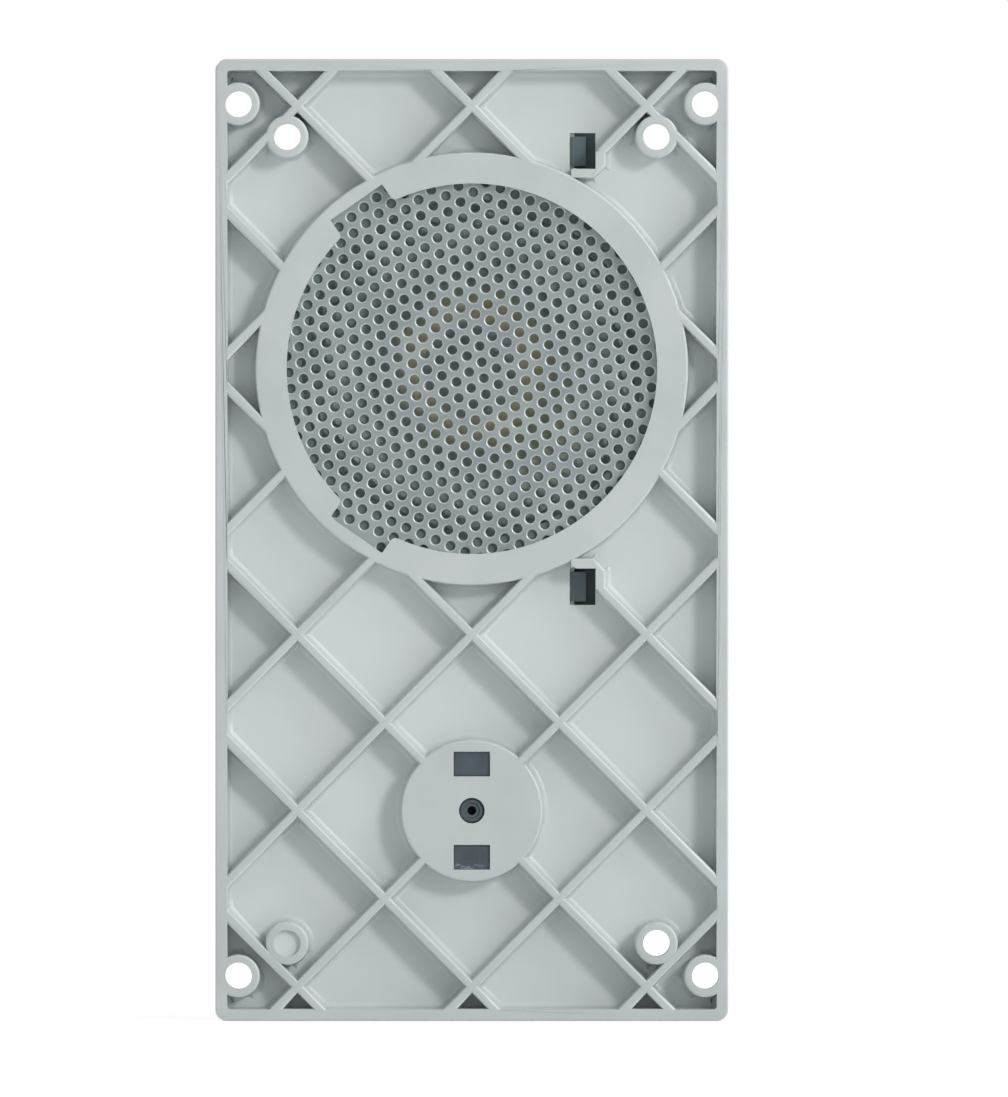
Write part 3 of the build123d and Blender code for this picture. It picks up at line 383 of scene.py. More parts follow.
def metal(name, base, other, size, roughness):
    """A bare or plated metal, whose plating varies a little in colour and gloss."""
    material, tree, shader, place = finish(name, base, Metallic=1.0)
    patches = mottled(tree, place, base, other, size)
    tree.links.new(patches, shader.inputs["Base Color"])
    grained(tree, shader, place, 0.2, 0.003)
    uneven_gloss(tree, shader, place, size, roughness - 0.07, roughness + 0.07)
    return material


# Attribute that says how far a point of the perforated disc is on a hole's rim, from 0 to 1, for the painted
# highlight there
RIM_SHARE = "painted_rim_highlight"


def punched_steel():
    """Zinc plated sheet: dull grey-green where it is flat, with a painted highlight on the rims where the
    punch went in.
    """
    # The chromate film over the zinc is nearly opaque, so the sheet is only half as mirroring as bare zinc
    material, tree, shader, place = finish("passivated_zinc_punched_steel", "939c99", Metallic=0.45)
    dull = mottled(tree, place, "828b8c", "909999", 7)
    # Painted highlight: the rims round the holes get this paler colour in place of the light that they catch
    rim_highlight_colour = mottled(tree, place, "b3babc", "c0c6c7", 3)
    rim = add(tree, "ShaderNodeAttribute", attribute_name=RIM_SHARE)
    sheet_colour = add(tree, "ShaderNodeMix", {
        "Factor": rim.outputs["Fac"], "A": dull, "B": rim_highlight_colour,
    }, data_type="RGBA")
    tree.links.new(sheet_colour.outputs["Result"], shader.inputs["Base Color"])
    grained(tree, shader, place, 0.3, 0.004)
    uneven_gloss(tree, shader, place, 8, 0.32, 0.46)
    return material


def from_axis(tree, place, z, x=0):
    """How far a point is from the axis along Y at a height z and a place x, given in millimetres."""
    centred = add(tree, "ShaderNodeMapping", {"Vector": place, "Location": point(-x, 0, -z)})
    flat = add(tree, "ShaderNodeVectorMath", {
        0: centred.outputs["Vector"], 1: (1, 0, 1),
    }, operation="MULTIPLY")
    radius = add(tree, "ShaderNodeVectorMath", {0: flat.outputs["Vector"]}, operation="LENGTH")
    return radius.outputs["Value"]


# Radius up to which the felt is whole, and from which the can is bare
FELT_EDGE = (3.6, 3.75)


def capsule_can():
    """Drawn aluminium can of the microphone, with black felt glued over its sound hole."""
    material, tree, shader, place = finish("drawn_aluminium_can_with_felt", "cfd0d0")
    can = mottled(tree, place, "cfd0d0", "dadbdb", 3)
    felt = mottled(tree, place, "2a3035", "3a4146", 0.4)
    under_felt = add(tree, "ShaderNodeMapRange", {
        "Value": from_axis(tree, place, MIC_Z), "From Min": FELT_EDGE[0] * MM,
        "From Max": FELT_EDGE[1] * MM, "To Min": 1.0, "To Max": 0.0,
    })
    skin_colour = add(tree, "ShaderNodeMix", {
        "Factor": under_felt.outputs["Result"], "A": can, "B": felt,
    }, data_type="RGBA")
    tree.links.new(skin_colour.outputs["Result"], shader.inputs["Base Color"])
    bare = add(tree, "ShaderNodeMapRange", {
        "Value": under_felt.outputs["Result"], "To Min": 1.0, "To Max": 0.0,
    })
    tree.links.new(bare.outputs["Result"], shader.inputs["Metallic"])
    dull = add(tree, "ShaderNodeMapRange", {
        "Value": under_felt.outputs["Result"], "To Min": 0.32, "To Max": 0.95,
    })
    tree.links.new(dull.outputs["Result"], shader.inputs["Roughness"])
    return material


# Heights over the microphone's middle between which the scuffs at the lower window fade out
SCUFF_FADE = (-8.6, -7.2)


def scuffed_arms():
    """The holder's blue-grey polyamide, coloured darker as painted shade for its heads in the windows, with
    pale scuffs along the foot of the lower window.
    """
    material, tree, shader, place = finish("scuffed_blue_grey_polyamide_with_painted_shade", "37424b", IOR=1.53)
    # Painted shade: both colours are darker than the other blue-grey polyamide, for the shade on the heads
    # seen in the windows
    clean = mottled(tree, place, "2e3942", "3b4750", 3)
    streaks = add(tree, "ShaderNodeMapping", {"Vector": place, "Scale": (1, 1, 3.2)})
    noise = add(tree, "ShaderNodeTexNoise", {
        "Vector": streaks.outputs["Vector"], "Scale": 1000 / 1.5, "Detail": 5.0, "Roughness": 0.75,
    })
    height = add(tree, "ShaderNodeSeparateXYZ", {"Vector": place})
    foot = add(tree, "ShaderNodeMapRange", {
        "Value": height.outputs["Z"], "From Min": (MIC_Z + SCUFF_FADE[0]) * MM,
        "From Max": (MIC_Z + SCUFF_FADE[1]) * MM, "To Min": 0.16, "To Max": 0.0,
    })
    marked = add(tree, "ShaderNodeMath", {
        0: noise.outputs["Fac"], 1: foot.outputs["Result"],
    }, operation="ADD")
    scuff = add(tree, "ShaderNodeMapRange", {
        "Value": marked.outputs[0], "From Min": 0.68, "From Max": 0.76,
    })
    skin_colour = add(tree, "ShaderNodeMix", {
        "Factor": scuff.outputs["Result"], "A": clean, "B": colour("87929a"),
    }, data_type="RGBA")
    tree.links.new(skin_colour.outputs["Result"], shader.inputs["Base Color"])
    uneven_gloss(tree, shader, place, 2, 0.4, 0.55)
    return material


# Amber glue on the film: the size of its patches, and then, for the ring round the neck and for the
# smear that was wiped down to one side, how far its edge strays and the radii over which it thins out
GLUE_PATCH = 6
RING_STRAY = 8
RING_FADE = (14, 18.5)
SMEAR_MIDDLE = (9, SPEAKER_Z - 8)
SMEAR_STRAY = 14
SMEAR_FADE = (13, 20)


def milky_film():
    """Thin thermoformed film, milky and half clear, with a ring of amber glue round its neck."""
    material, tree, shader, place = finish("milky_thermoformed_film", "b8bfbf", Roughness=0.35)
    skin_colour = mottled(tree, place, "b6cace", "cedbda", 5)
    glue = mottled(tree, place, "cbcca4", "e3e3c6", 2)
    run = add(tree, "ShaderNodeTexNoise", {"Vector": place, "Scale": 1000 / GLUE_PATCH})
    uneven = add(tree, "ShaderNodeMath", {
        0: run.outputs["Fac"], 1: RING_STRAY * MM, 2: from_axis(tree, place, SPEAKER_Z),
    }, operation="MULTIPLY_ADD")
    ring = add(tree, "ShaderNodeMapRange", {
        "Value": uneven.outputs[0], "From Min": RING_FADE[0] * MM, "From Max": RING_FADE[1] * MM,
        "To Min": 1.0, "To Max": 0.0,
    })
    wiped = add(tree, "ShaderNodeMath", {
        0: run.outputs["Fac"], 1: SMEAR_STRAY * MM,
        2: from_axis(tree, place, SMEAR_MIDDLE[1], SMEAR_MIDDLE[0]),
    }, operation="MULTIPLY_ADD")
    # The smear is thinner than the ring
    smear = add(tree, "ShaderNodeMapRange", {
        "Value": wiped.outputs[0], "From Min": SMEAR_FADE[0] * MM, "From Max": SMEAR_FADE[1] * MM,
        "To Min": 0.6, "To Max": 0.0,
    })
    glued = add(tree, "ShaderNodeMath", {
        0: ring.outputs["Result"], 1: smear.outputs["Result"],
    }, operation="MAXIMUM")
    blend = add(tree, "ShaderNodeMix", {
        "Factor": glued.outputs[0], "A": skin_colour, "B": glue,
    }, data_type="RGBA")
    tree.links.new(blend.outputs["Result"], shader.inputs["Base Color"])
    cover = add(tree, "ShaderNodeMapRange", {
        "Value": glued.outputs[0], "To Min": 0.5, "To Max": 0.95,
    })
    tree.links.new(cover.outputs["Result"], shader.inputs["Alpha"])
    return material


finishes = {
    # Light grey ABS from a spark-eroded tool: pale and dull, with painted shade on the faces that bear on
    # the panel
    "housing_grey": moulded_abs(),
    # Polyamide from a smooth tool: dark blue-grey with a satin sheen
    "dark_plastic": plain("blue_grey_moulded_polyamide", "3e4c52", "4a5a60", 4, 0.45, IOR=1.53),
    # Punched zinc plated sheet: half mirroring grey-green, with a painted highlight on the rims round its
    # holes
    "grille_steel": punched_steel(),
    # Cut closed-cell foam: nearly black, coarse and without any gloss
    "foam": plain("black_closed_cell_foam", "1d1e1f", "262728", 1.2, 0.9, 0.5, 0.05),
    # Thin thermoformed film: milky and half clear, yellowed where glue has run
    "film": milky_film(),
    # The same film, tinted grey: smooth, with a soft shine
    "dark_film": plain("grey_thermoformed_film", "96a4aa", "a5b1b4", 5, 0.35),
    # Copper wire under clear enamel: a warm red-brown gleam
    "copper_coil": metal("enamelled_copper_wire", "b0603a", "bd6c42", 1.5, 0.3),
    # Pressed steel, zinc plated: pale and bright, a little cloudy
    "plated_steel": metal("zinc_plated_pressed_steel", "bcbdb9", "c9cac6", 7, 0.34),
    # Ferrite, ground after sintering: charcoal grey with a faint stony shine
    "ferrite": plain("ground_sintered_ferrite", "38383b", "424246", 2.5, 0.5, 0.25, 0.01, IOR=1.8),
    # Paper board soaked in phenolic resin: brown and half dull
    "phenolic": plain("brown_phenolic_paper", "7c5530", "8a6036", 2, 0.5, IOR=1.6),
    # Tin from a dip: bright, soft and cloudy in patches
    "tin": metal("dipped_tin", "c9c9c4", "d6d6d1", 1.5, 0.3),
    # Silicone rubber: dark grey and dull, with a broad weak sheen
    "mic_rubber": plain("dark_grey_silicone_rubber", "454f55", "4f595f", 2, 0.62, IOR=1.42),
    # Drawn aluminium, smooth and bright, with black felt on its front that has no gloss at all
    "mic_can": capsule_can(),
    # Solder mask over copper: even green lacquer with a clear gloss
    "solder_mask": plain("green_solder_mask", "1d6a45", "237550", 2, 0.35, IOR=1.55),
    # Moulded epoxy of a chip: black and matt, with a very fine grain
    "chip_epoxy": plain("black_moulded_epoxy", "222224", "29292b", 1, 0.6, IOR=1.6),
    # Undyed nylon: a warm ivory with a satin skin
    "white_nylon": plain("natural_moulded_nylon", "ddd9cb", "e4e1d5", 3, 0.4, IOR=1.53),
    # Soft PVC round a wire: even red with a waxy shine
    "lead_jacket": plain("red_pvc_wire_jacket", "a52a23", "af332b", 3, 0.42, IOR=1.53),
    # Dyed polyamide: a strong green, satin and slightly uneven
    "terminal_green": plain("green_moulded_polyamide", "2f8450", "378d58", 4, 0.42, IOR=1.53),
    # Screws with bright zinc plate: cool, and the shiniest metal here
    "screw_steel": metal("bright_zinc_plated_screw_steel", "c6c7c2", "d2d3ce", 1.5, 0.28),
    # Brass with a thin coat of tin: a pale yellow that shines through
    "contact_brass": metal("tinned_contact_brass", "c9ae72", "d3ba82", 1.5, 0.3),
    # Acetal: a cool white, slippery smooth, with a soft gloss
    "rotor_white": plain("white_moulded_acetal", "e0e0dc", "e8e8e4", 2, 0.38, IOR=1.48),
    # Moulded polyester of the switch: signal red and satin
    "switch_red": plain("red_moulded_polyester", "b3231f", "bd2c27", 2, 0.4, IOR=1.53),
    # Dark grey ABS from a coarse tool: dull, grainy and slightly cloudy
    "housing_dark": plain("dark_grey_moulded_abs", "43484c", "494f53", 14, 0.52, 0.35, 0.012, IOR=1.53),
    # Glaze fired on the smallest parts: black with a clear gloss
    "ceramic_black": plain("fired_black_glaze", "2c2c2f", "343437", 1, 0.35, IOR=1.6),
    # Ferrite under a thin coat of paint: dark grey, smooth and half dull
    "choke_ferrite": plain("coated_choke_ferrite", "303033", "38383b", 1.5, 0.45, IOR=1.7),
}
# Wool felt of the disc's seat: fluffy and lightless, its olive grey shows in the outermost holes
seat_felt = plain("olive_grey_wool_felt", "5c6867", "697674", 1.0, 0.85, 0.4, 0.06)
# The basket is seen through the film: its chromate film scatters light, so it is paler than bare zinc
pale_zinc = plain("passivated_zinc_pressed_steel", "b3b9b3", "c0c5be", 6, 0.4, Metallic=0.4)
slot_of = {part["node"]: part["material_slot"] for part in frame["record"]["subparts"]}
for node, cad_object in frame["nodes"].items():
    cad_object.data.materials.clear()
    cad_object.data.materials.append(finishes[slot_of[node]])


def dress(piece, node, *more_nodes, material=None):
    """Puts a finished piece on the body of the node that it stands for, in that node's finish."""
    piece.data.materials.clear()
    piece.data.materials.append(material or finishes[slot_of[node]])
    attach(piece, body_of[node])
    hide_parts(node, *more_nodes)
    return piece


# Mouldings and pressings taken over from the solids with their edges shaded round

MOULDINGS = [
    "bowl_damping", "speaker_retainer", "terminal_header", "yoke", "magnet", "top_washer", "tag_strip",
    "speaker_tags", "mic_boot", "mic_capsule", "housing_screws", "board_screws", "lead_plug", "lead_socket",
    "volume_trimmer_base", "volume_trimmer_rotor", "mic_trimmer_base", "mic_trimmer_rotor",
    "dip_switch_body", "capacitors", "choke", "voice_coil", "speaker_surround", "dust_cap", "mic_leads",
]
for node in MOULDINGS:
    dress(moulding(node), node)
dress(moulding("grille_gasket"), "grille_gasket", material=seat_felt)
dress(moulding("speaker_basket"), "speaker_basket", material=pale_zinc)
dress(moulding("mic_holder"), "mic_holder", material=scuffed_arms())


# Rear housing, with a scale of fine marks cut round each of its two setting screws

HOUSING_BACK = 26.0
TRIMMER_X = (8.0, 20.0)
TRIMMER_Z = -50.0
# How far a cutting shape stands out of the face that it cuts into
CUTTER_RISE = 0.2
# Scale marks: their section, how far from the screw's middle they start, and their lengths
MARK_WIDTH = 0.3
MARK_DEPTH = 0.2
MARK_FROM = 3.4
MARK_LENGTH = 0.8
END_MARK_LENGTH = 1.3
# A screw turns this many degrees to either side of its middle, with a mark at every step
END_TURN = 135
MARK_STEP = 30


def scale_marks(x):
    """Marks from end to end of a screw's travel, the outermost two longer."""
    marks = []
    for turn in range(-END_TURN, END_TURN + 1, MARK_STEP):
        length = END_MARK_LENGTH if abs(turn) == END_TURN else MARK_LENGTH
        mark = block(
            "mark", (x - MARK_WIDTH / 2, HOUSING_BACK - MARK_DEPTH, TRIMMER_Z + MARK_FROM),
            (x + MARK_WIDTH / 2, HOUSING_BACK + CUTTER_RISE, TRIMMER_Z + MARK_FROM + length),
        )
        with edit(mark):
            bpy.ops.mesh.select_all(action="SELECT")
            bpy.ops.transform.rotate(
                value=math.radians(turn), orient_axis="Y", center_override=point(x, 0, TRIMMER_Z)
            )
        marks.append(mark)
    return marks


housing = engraved(skin("rear_housing"), scale_marks(TRIMMER_X[0]) + scale_marks(TRIMMER_X[1]))
smooth(housing, 50)
dress(housing, "rear_housing")


# Terminal plug: its poles are parted by grooves and numbered from 1 to 4, as read from the rear

PLUG_BACK = 29.8
POLE_X = (-5.5, -10.5, -15.5, -20.5)
NUMERAL_SIZE = 2.6
NUMERAL_DEPTH = 0.18
NUMERAL_Z = -49.6
# A groove's two sides, from the middle of the pole at its side, and its foot and top
GROOVE_SIDES = (-2.65, -2.35)
GROOVE_ENDS = (-58, -45)
GROOVE_DEPTH = 0.25


def pole_number(count, x):
    """A numeral that reads from the rear, deep enough to cut with."""
    bpy.ops.object.text_add(rotation=(math.pi / 2, 0, math.pi))
    numeral = bpy.context.object
    numeral.data.body = str(count)
    numeral.data.align_x = "CENTER"
    numeral.data.size = NUMERAL_SIZE * MM
    numeral.data.extrude = NUMERAL_DEPTH * MM
    numeral.location = point(x, PLUG_BACK, NUMERAL_Z)
    bpy.ops.object.convert(target="MESH")
    numeral = bpy.context.object
    bpy.ops.object.transform_apply()
    with edit(numeral):
        bpy.ops.mesh.select_all(action="SELECT")
        bpy.ops.mesh.remove_doubles(threshold=MERGE_DISTANCE)
        # The 4's crossbar has slivers without area, in two layers, that would leave the cut unjoined
        for _ in range(2):
            bpy.ops.mesh.dissolve_degenerate(threshold=MERGE_DISTANCE)
        bpy.ops.mesh.normals_make_consistent(inside=False)
    return numeral


numerals = [pole_number(count, x) for count, x in enumerate(POLE_X, 1)]
grooves = [
    block(
        "groove", (x + GROOVE_SIDES[0], PLUG_BACK - GROOVE_DEPTH, GROOVE_ENDS[0]),
        (x + GROOVE_SIDES[1], PLUG_BACK + CUTTER_RISE, GROOVE_ENDS[1]),
    )
    for x in POLE_X[:-1]
]
plug = engraved(skin("terminal_plug"), numerals + grooves)
smooth(plug, 40)
dress(plug, "terminal_plug")


# Speaker wires, from their plug on the board to the tags, and the solder that holds them there

WIRE_RADIUS = 0.6
WIRE_ROUTES = [
    [
        (-21.2, 17.9, -16.6), (-21.2, 17.9, -9.1), (-20.0, 15.6, -3.1), (-18.29, 14.8, 5.28),
        (-13.69, 13.9, 9.78),
    ],
    [
        (-18.8, 17.9, -16.6), (-18.8, 17.9, -9.9), (-17.6, 15.6, -3.9), (-11.01, 14.8, 1.88),
        (-7.81, 13.9, 6.38),
    ],
]
# Half the section of a solder bead, as radius and depth, from its tip to the tag that it sits on
SOLDER_BEAD = [
    (0, 14.75), (0.5, 14.65), (0.9, 14.2), (1.05, 13.75), (1.35, 13.42), (1.5, 13.25), (0, 13.25),
]


def wire(route):
    """A round wire along one smooth line."""
    line = bpy.data.curves.new("wire", "CURVE")
    line.dimensions = "3D"
    line.bevel_depth = WIRE_RADIUS * MM
    line.bevel_resolution = 4
    line.resolution_u = 14
    line.use_fill_caps = True
    spline = line.splines.new("NURBS")
    spline.points.add(len(route) - 1)
    for knot, place in zip(spline.points, route):
        knot.co = (*point(*place), 1.0)
    spline.order_u = 3
    spline.use_endpoint_u = True
    piece = bpy.data.objects.new("wire", line)
    bpy.context.scene.collection.objects.link(piece)
    bpy.ops.object.select_all(action="DESELECT")
    piece.select_set(True)
    bpy.context.view_layer.objects.active = piece
    bpy.ops.object.convert(target="MESH")
    return bpy.context.object


wires = joined("speaker_wires", [wire(route) for route in WIRE_ROUTES])
smooth(wires, 60, weighted=False)
dress(wires, "speaker_leads")

solder = joined("tag_solder", [
    turned("bead", route[-1][0], route[-1][2], SOLDER_BEAD, 32, closed=False) for route in WIRE_ROUTES
])
smooth(solder, 60, weighted=False)
solder.data.materials.clear()
solder.data.materials.append(finishes["tin"])
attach(solder, body_of["speaker_tags"])


# Cone of the loudspeaker: its edge meets the surround, and fine corrugations stiffen it

CONE_EDGE = (23.35, 4.84)
CONE_NECK = (7.6, 8.4)
CONE_WAVES = 9
CONE_WAVE_HEIGHT = 0.16
CONE_FILM = 0.22


def cone_outline():
    """The film's two faces, from edge to neck."""
    steps = 2 * CONE_WAVES
    front = [
        (
            CONE_EDGE[0] + (CONE_NECK[0] - CONE_EDGE[0]) * step / steps,
            CONE_EDGE[1] + (CONE_NECK[1] - CONE_EDGE[1]) * step / steps
            + (CONE_WAVE_HEIGHT if step % 2 else 0.0),
        )
        for step in range(steps + 1)
    ]
    return front + [(radius, depth + CONE_FILM) for radius, depth in reversed(front)]


cone = turned("corrugated_cone", 0, SPEAKER_Z, cone_outline(), 128)
smooth(cone, 60)
dress(cone, "speaker_cone")


# Carrier plate

ROOT_RADIUS = 0.8
TOP_ROUNDING = 0.13
# A face or point this near to a plane lies in it
NEAR = 0.02
# Half the width and half the height of the field round a latch window that keeps its sharp roots
LATCH_FIELD = (3.4, 4.2)
# A root is left out where another wall is nearer than this; the rays that look for one start a
# little way off the edge and over the floor
ROOM_FOR_ROOTS = 2 * ROOT_RADIUS + 0.1
RAY_START = (0.02, 0.05)


def front_plate():
    """The plate's skin, with the round roots and the rounded top edges that it is moulded with."""
    piece = skin("front_plate")

    def in_cell(face):
        place = middle(face)
        floor = abs(place.y - FLOOR_FRONT) < NEAR and face.normal.y < -0.99
        wall = EDGE_BREAK < place.y < FLOOR_FRONT and abs(face.normal.y) < 0.1
        return floor or wall

    walls = BVHTree.FromPolygons(
        [vert.co.copy() for vert in piece.data.vertices],
        [tuple(face.vertices) for face in piece.data.polygons],
    )

    def cramped(edge, floor):
        """Beside a latch window, and where another wall is too near, there is no room for a root."""
        place = middle(edge)
        if any(
            abs(place.x - LATCH_X) < LATCH_FIELD[0]
            and abs(place.z - SPEAKER_Z - side * LATCH_REACH) < LATCH_FIELD[1]
            for side in (-1, 1)
        ):
            return True
        inward = edge.calc_tangent([loop for loop in edge.link_loops if loop.face == floor][0])
        first, last = (vert.co for vert in edge.verts)
        return any(
            walls.ray_cast(
                first.lerp(last, share) + RAY_START[0] * MM * inward - point(0, RAY_START[1], 0),
                inward, ROOM_FOR_ROOTS * MM,
            )[0]
            for share in (0.25, 0.5, 0.75)
        )

    def at_root(edge):
        if len(edge.link_faces) != 2 or any(abs(v.co.y / MM - FLOOR_FRONT) > NEAR for v in edge.verts):
            return False
        floors = [face for face in edge.link_faces if face.normal.y < -0.99]
        sides = [face for face in edge.link_faces if middle(face).y < FLOOR_FRONT - 0.05]
        return len(floors) == 1 and len(sides) == 1 and not cramped(edge, floors[0])

    def on_top_edge(edge):
        if len(edge.link_faces) != 2 or any(v.co.y / MM > EDGE_BREAK + 0.01 for v in edge.verts):
            return False
        slopes = [face for face in edge.link_faces if -0.9 < face.normal.y < -0.5]
        return len(slopes) == 1

    with edit(piece):
        # The cells' floors and walls become whole faces, so that their roots round evenly
        pick(piece, "faces", in_cell)
        bpy.ops.mesh.dissolve_limited(angle_limit=math.radians(0.3))
        pick(piece, "edges", at_root)
        bpy.ops.mesh.bevel(offset=ROOT_RADIUS * MM, segments=4, affect="EDGES", clamp_overlap=False)
        pick(piece, "edges", on_top_edge)
        bpy.ops.mesh.bevel(offset=TOP_ROUNDING * MM, segments=2, affect="EDGES", clamp_overlap=False)
        # Corners that stand proud go back to the bearing plane
        pick(piece, "verts", lambda vert: vert.co.y < 0)
        bpy.ops.transform.resize(value=(1, 0, 1), center_override=(0, 0, 0))
    smooth(piece)
    return piece


dress(front_plate(), "front_plate")


# Perforated disc of the loudspeaker

GRILLE_RADIUS = 32.3
GRILLE_FRONT = 2.0
GRILLE_THICK = 0.8
# The holes show a little narrower than they are drilled in the solid, as the drawn edges close them
HOLE_RADIUS = 0.72
HOLE_ROUNDING = 0.3
# No hole's centre is further than this from the middle, in the solid too
HOLE_FIELD = 31.3
# The rows of holes: length of a step in millimetres and its direction in degrees
ROW_STEP = (2.483, -22.6)
SLANT_STEP = (2.497, 38.2)
FIRST_HOLE = (-0.42, -0.51)
ROW_HALF_COUNT = 26


def punches():
    """Round punches for all holes: one is modelled, and rows of it are cut down to a round field."""
    steps = [
        point(math.cos(math.radians(turn)) * length, 0, math.sin(math.radians(turn)) * length)
        for length, turn in (ROW_STEP, SLANT_STEP)
    ]
    corner = point(FIRST_HOLE[0], GRILLE_FRONT + GRILLE_THICK / 2, FIRST_HOLE[1] + SPEAKER_Z)
    bpy.ops.mesh.primitive_cylinder_add(
        vertices=16, radius=HOLE_RADIUS * MM, depth=2 * GRILLE_THICK * MM,
        location=corner - ROW_HALF_COUNT * (steps[0] + steps[1]), rotation=(math.pi / 2, 0, 0),
    )
    field = bpy.context.object
    bpy.ops.object.transform_apply()
    for step in steps:
        rows = field.modifiers.new("rows", "ARRAY")
        rows.use_relative_offset = False
        rows.use_constant_offset = True
        rows.constant_offset_displace = step
        rows.count = 2 * ROW_HALF_COUNT + 1
        bpy.ops.object.modifier_apply(modifier=rows.name)

    def outside(face):
        place = middle(face)
        return len(face.verts) > 4 and math.hypot(place.x, place.z - SPEAKER_Z) > HOLE_FIELD

    with edit(field):
        pick(field, "faces", outside)
        bpy.ops.mesh.select_linked()
        bpy.ops.mesh.delete(type="FACE")
    return field


def perforated_disc():
    """The steel disc, punched from the front, so that the sheet is drawn in round each hole."""
    field = punches()
    bpy.ops.mesh.primitive_cylinder_add(
        vertices=192, radius=GRILLE_RADIUS * MM, depth=GRILLE_THICK * MM,
        location=point(0, GRILLE_FRONT + GRILLE_THICK / 2, SPEAKER_Z), rotation=(math.pi / 2, 0, 0),
    )
    disc = bpy.context.object
    disc.name = "punched_disc"
    bpy.ops.object.transform_apply()
    holes = disc.modifiers.new("holes", "BOOLEAN")
    holes.operation = "DIFFERENCE"
    holes.object = field
    bpy.ops.object.modifier_apply(modifier=holes.name)
    bpy.data.objects.remove(field)

    def on_rim(edge):
        if any(abs(vert.co.y / MM - GRILLE_FRONT) > 0.001 for vert in edge.verts):
            return False
        place = middle(edge)
        flats = [face for face in edge.link_faces if face.normal.y < -0.99]
        return len(flats) == 1 and math.hypot(place.x, place.z - SPEAKER_Z) < GRILLE_RADIUS - 0.1

    with edit(disc):
        pick(disc, "edges", on_rim)
        bpy.ops.mesh.bevel(offset=HOLE_ROUNDING * MM, segments=2, affect="EDGES", clamp_overlap=False)
    share = disc.data.attributes.new(RIM_SHARE, "FLOAT", "POINT")
    for vert in disc.data.vertices:
        depth = vert.co.y / MM - GRILLE_FRONT
        # Painted highlight: of the points behind the front face, those on the rounding get the full rim
        # colour, those in the hole less of it
        if 0.01 < depth < HOLE_ROUNDING + 0.01:
            share.data[vert.index].value = 1.0 if depth < HOLE_ROUNDING - 0.05 else 0.3
    smooth(disc, 60)
    return disc


dress(perforated_disc(), "speaker_grille")


# Room: a pale floor, a white background for the camera and soft studio light

FLOOR_LEVEL = cad_box[0].z
AMBIENT = 0.47
# How bright the paper glows near the object, where about half of it is lit paper, and far from it
PAPER_GLOW = 1.28
FAR_GLOW = 1.02
# Distances from the object, in metres, between which the near paper turns into the far one
PAPER_FADE = (0.3, 1.4)


def backdrop_share(tree):
    """One for rays that see the background itself: from the camera, in gloss and through glass."""
    path = add(tree, "ShaderNodeLightPath")
    gloss = add(tree, "ShaderNodeMath", {
        0: path.outputs["Is Camera Ray"], 1: path.outputs["Is Glossy Ray"],
    }, operation="MAXIMUM")
    seen = add(tree, "ShaderNodeMath", {
        0: gloss.outputs[0], 1: path.outputs["Is Transmission Ray"],
    }, operation="MAXIMUM")
    return seen.outputs[0]


world = bpy.data.worlds.new("studio")
bpy.context.scene.world = world
world.use_nodes = True
tree = world.node_tree
ambient = tree.nodes["Background"]
ambient.inputs["Color"].default_value = colour("f3f5f6")
ambient.inputs["Strength"].default_value = AMBIENT
white = add(tree, "ShaderNodeBackground", {"Color": (1, 1, 1, 1), "Strength": 1.0})
choice = add(tree, "ShaderNodeMixShader", {
    0: backdrop_share(tree), 1: ambient.outputs[0], 2: white.outputs[0],
})
tree.links.new(choice.outputs[0], tree.nodes["World Output"].inputs["Surface"])

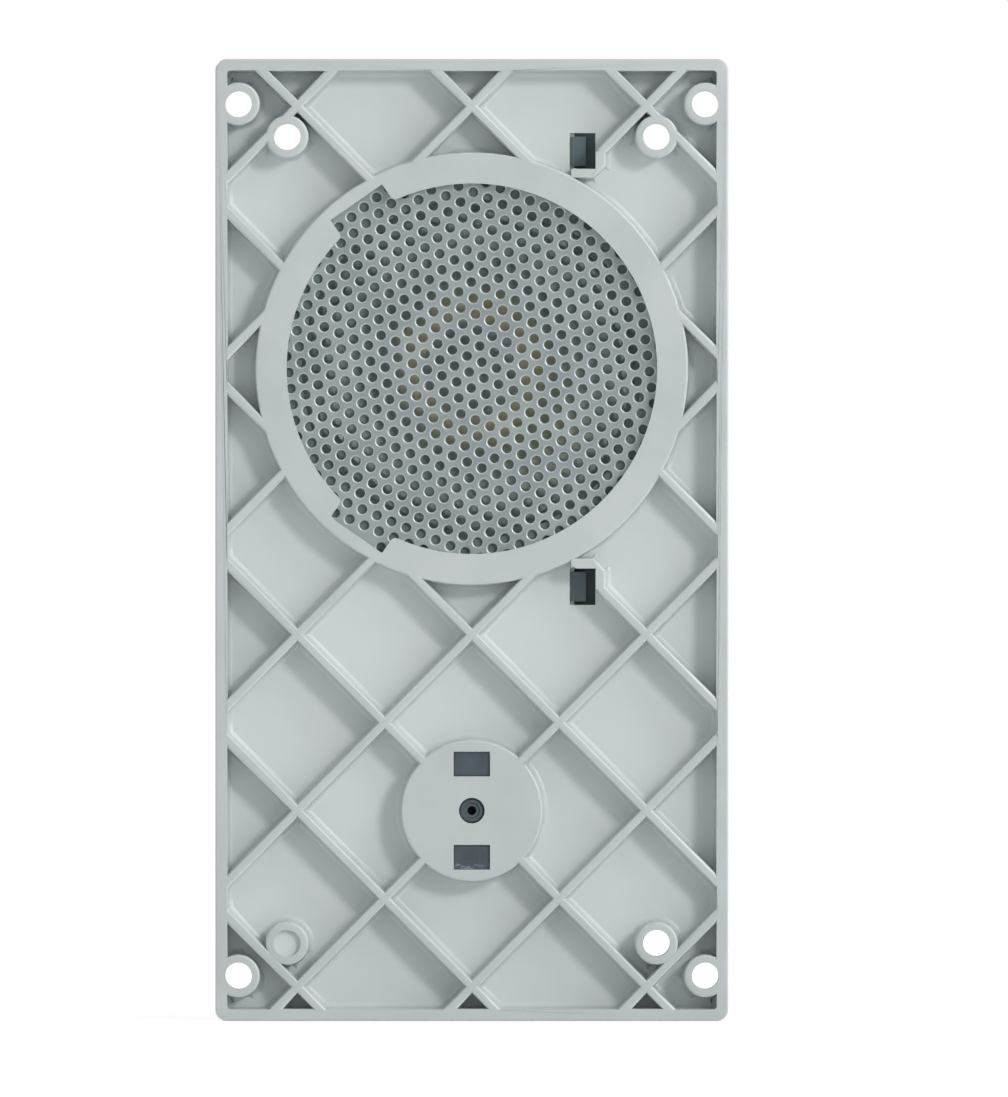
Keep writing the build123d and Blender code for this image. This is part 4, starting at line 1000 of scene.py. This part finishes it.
# Floor: near the object half of it is lit paper that takes the shadow, and further off it is plain white
bpy.ops.mesh.primitive_plane_add(size=16, location=(0, 0, FLOOR_LEVEL))
ground = bpy.context.object
ground.name = "floor"
material, tree, shader, place = finish("matt_white_paper", "f4f5f5", Roughness=0.9)
reach = add(tree, "ShaderNodeVectorMath", {0: place}, operation="LENGTH")
far = add(tree, "ShaderNodeMapRange", {
    "Value": reach.outputs["Value"], "From Min": PAPER_FADE[0], "From Max": PAPER_FADE[1],
}, interpolation_type="SMOOTHSTEP")
strength = add(tree, "ShaderNodeMapRange", {
    "Value": far.outputs["Result"], "To Min": PAPER_GLOW, "To Max": FAR_GLOW,
})
glow = add(tree, "ShaderNodeEmission", {"Color": (1, 1, 1, 1), "Strength": strength.outputs["Result"]})
part = add(tree, "ShaderNodeMapRange", {"Value": far.outputs["Result"], "To Min": 0.55, "To Max": 1.0})
seen_part = add(tree, "ShaderNodeMath", {
    0: backdrop_share(tree), 1: part.outputs["Result"],
}, operation="MULTIPLY")
paper = add(tree, "ShaderNodeMixShader", {
    0: seen_part.outputs[0], 1: shader.outputs[0], 2: glow.outputs[0],
})
tree.links.new(paper.outputs[0], tree.nodes["Material Output"].inputs["Surface"])
ground.data.materials.append(material)


def softbox(name, place, size, watts, tint):
    """A square area light at a place in metres, facing the middle of the plate's front."""
    lamp = bpy.data.objects.new(name, bpy.data.lights.new(name, "AREA"))
    bpy.context.scene.collection.objects.link(lamp)
    lamp.data.size = size
    lamp.data.energy = watts
    lamp.data.color = colour(tint)[:3]
    lamp.location = place
    lamp.rotation_euler = Vector(place).to_track_quat("Z", "Y").to_euler()
    lamp.visible_camera = False


softbox("key", (0.86, -1.25, 0.53), 0.26, 8.8, "fffcf8")
softbox("right_fill", (0.9, -0.95, -0.07), 1.1, 3.4, "f9fcff")
softbox("edge_light", (1.15, -0.6, 1.05), 0.9, 9, "fbfdff")
softbox("rear_key", (-0.95, 1.2, 0.8), 0.4, 13, "fffaf3")
softbox("side_fill", (1.3, 0.9, 0.4), 0.7, 0.8, "ffffff")

# Camera square to the plate's front; its lens takes in the photograph's height at the plate, in
# metres, and the shift sets the framing
CAMERA_DISTANCE = 3
FRAME_HEIGHT = 0.1710
SENSOR_SIZE = 36
camera = bpy.data.objects.new("camera", bpy.data.cameras.new("camera"))
bpy.context.scene.collection.objects.link(camera)
camera.location = (0, -CAMERA_DISTANCE, 0)
camera.rotation_euler = (math.pi / 2, 0, 0)
camera.data.sensor_width = SENSOR_SIZE
camera.data.lens = SENSOR_SIZE * CAMERA_DISTANCE / FRAME_HEIGHT
camera.data.shift_x = 0.0293
camera.data.shift_y = -0.0078
bpy.context.scene.camera = camera
bpy.context.scene.view_settings.view_transform = "Standard"
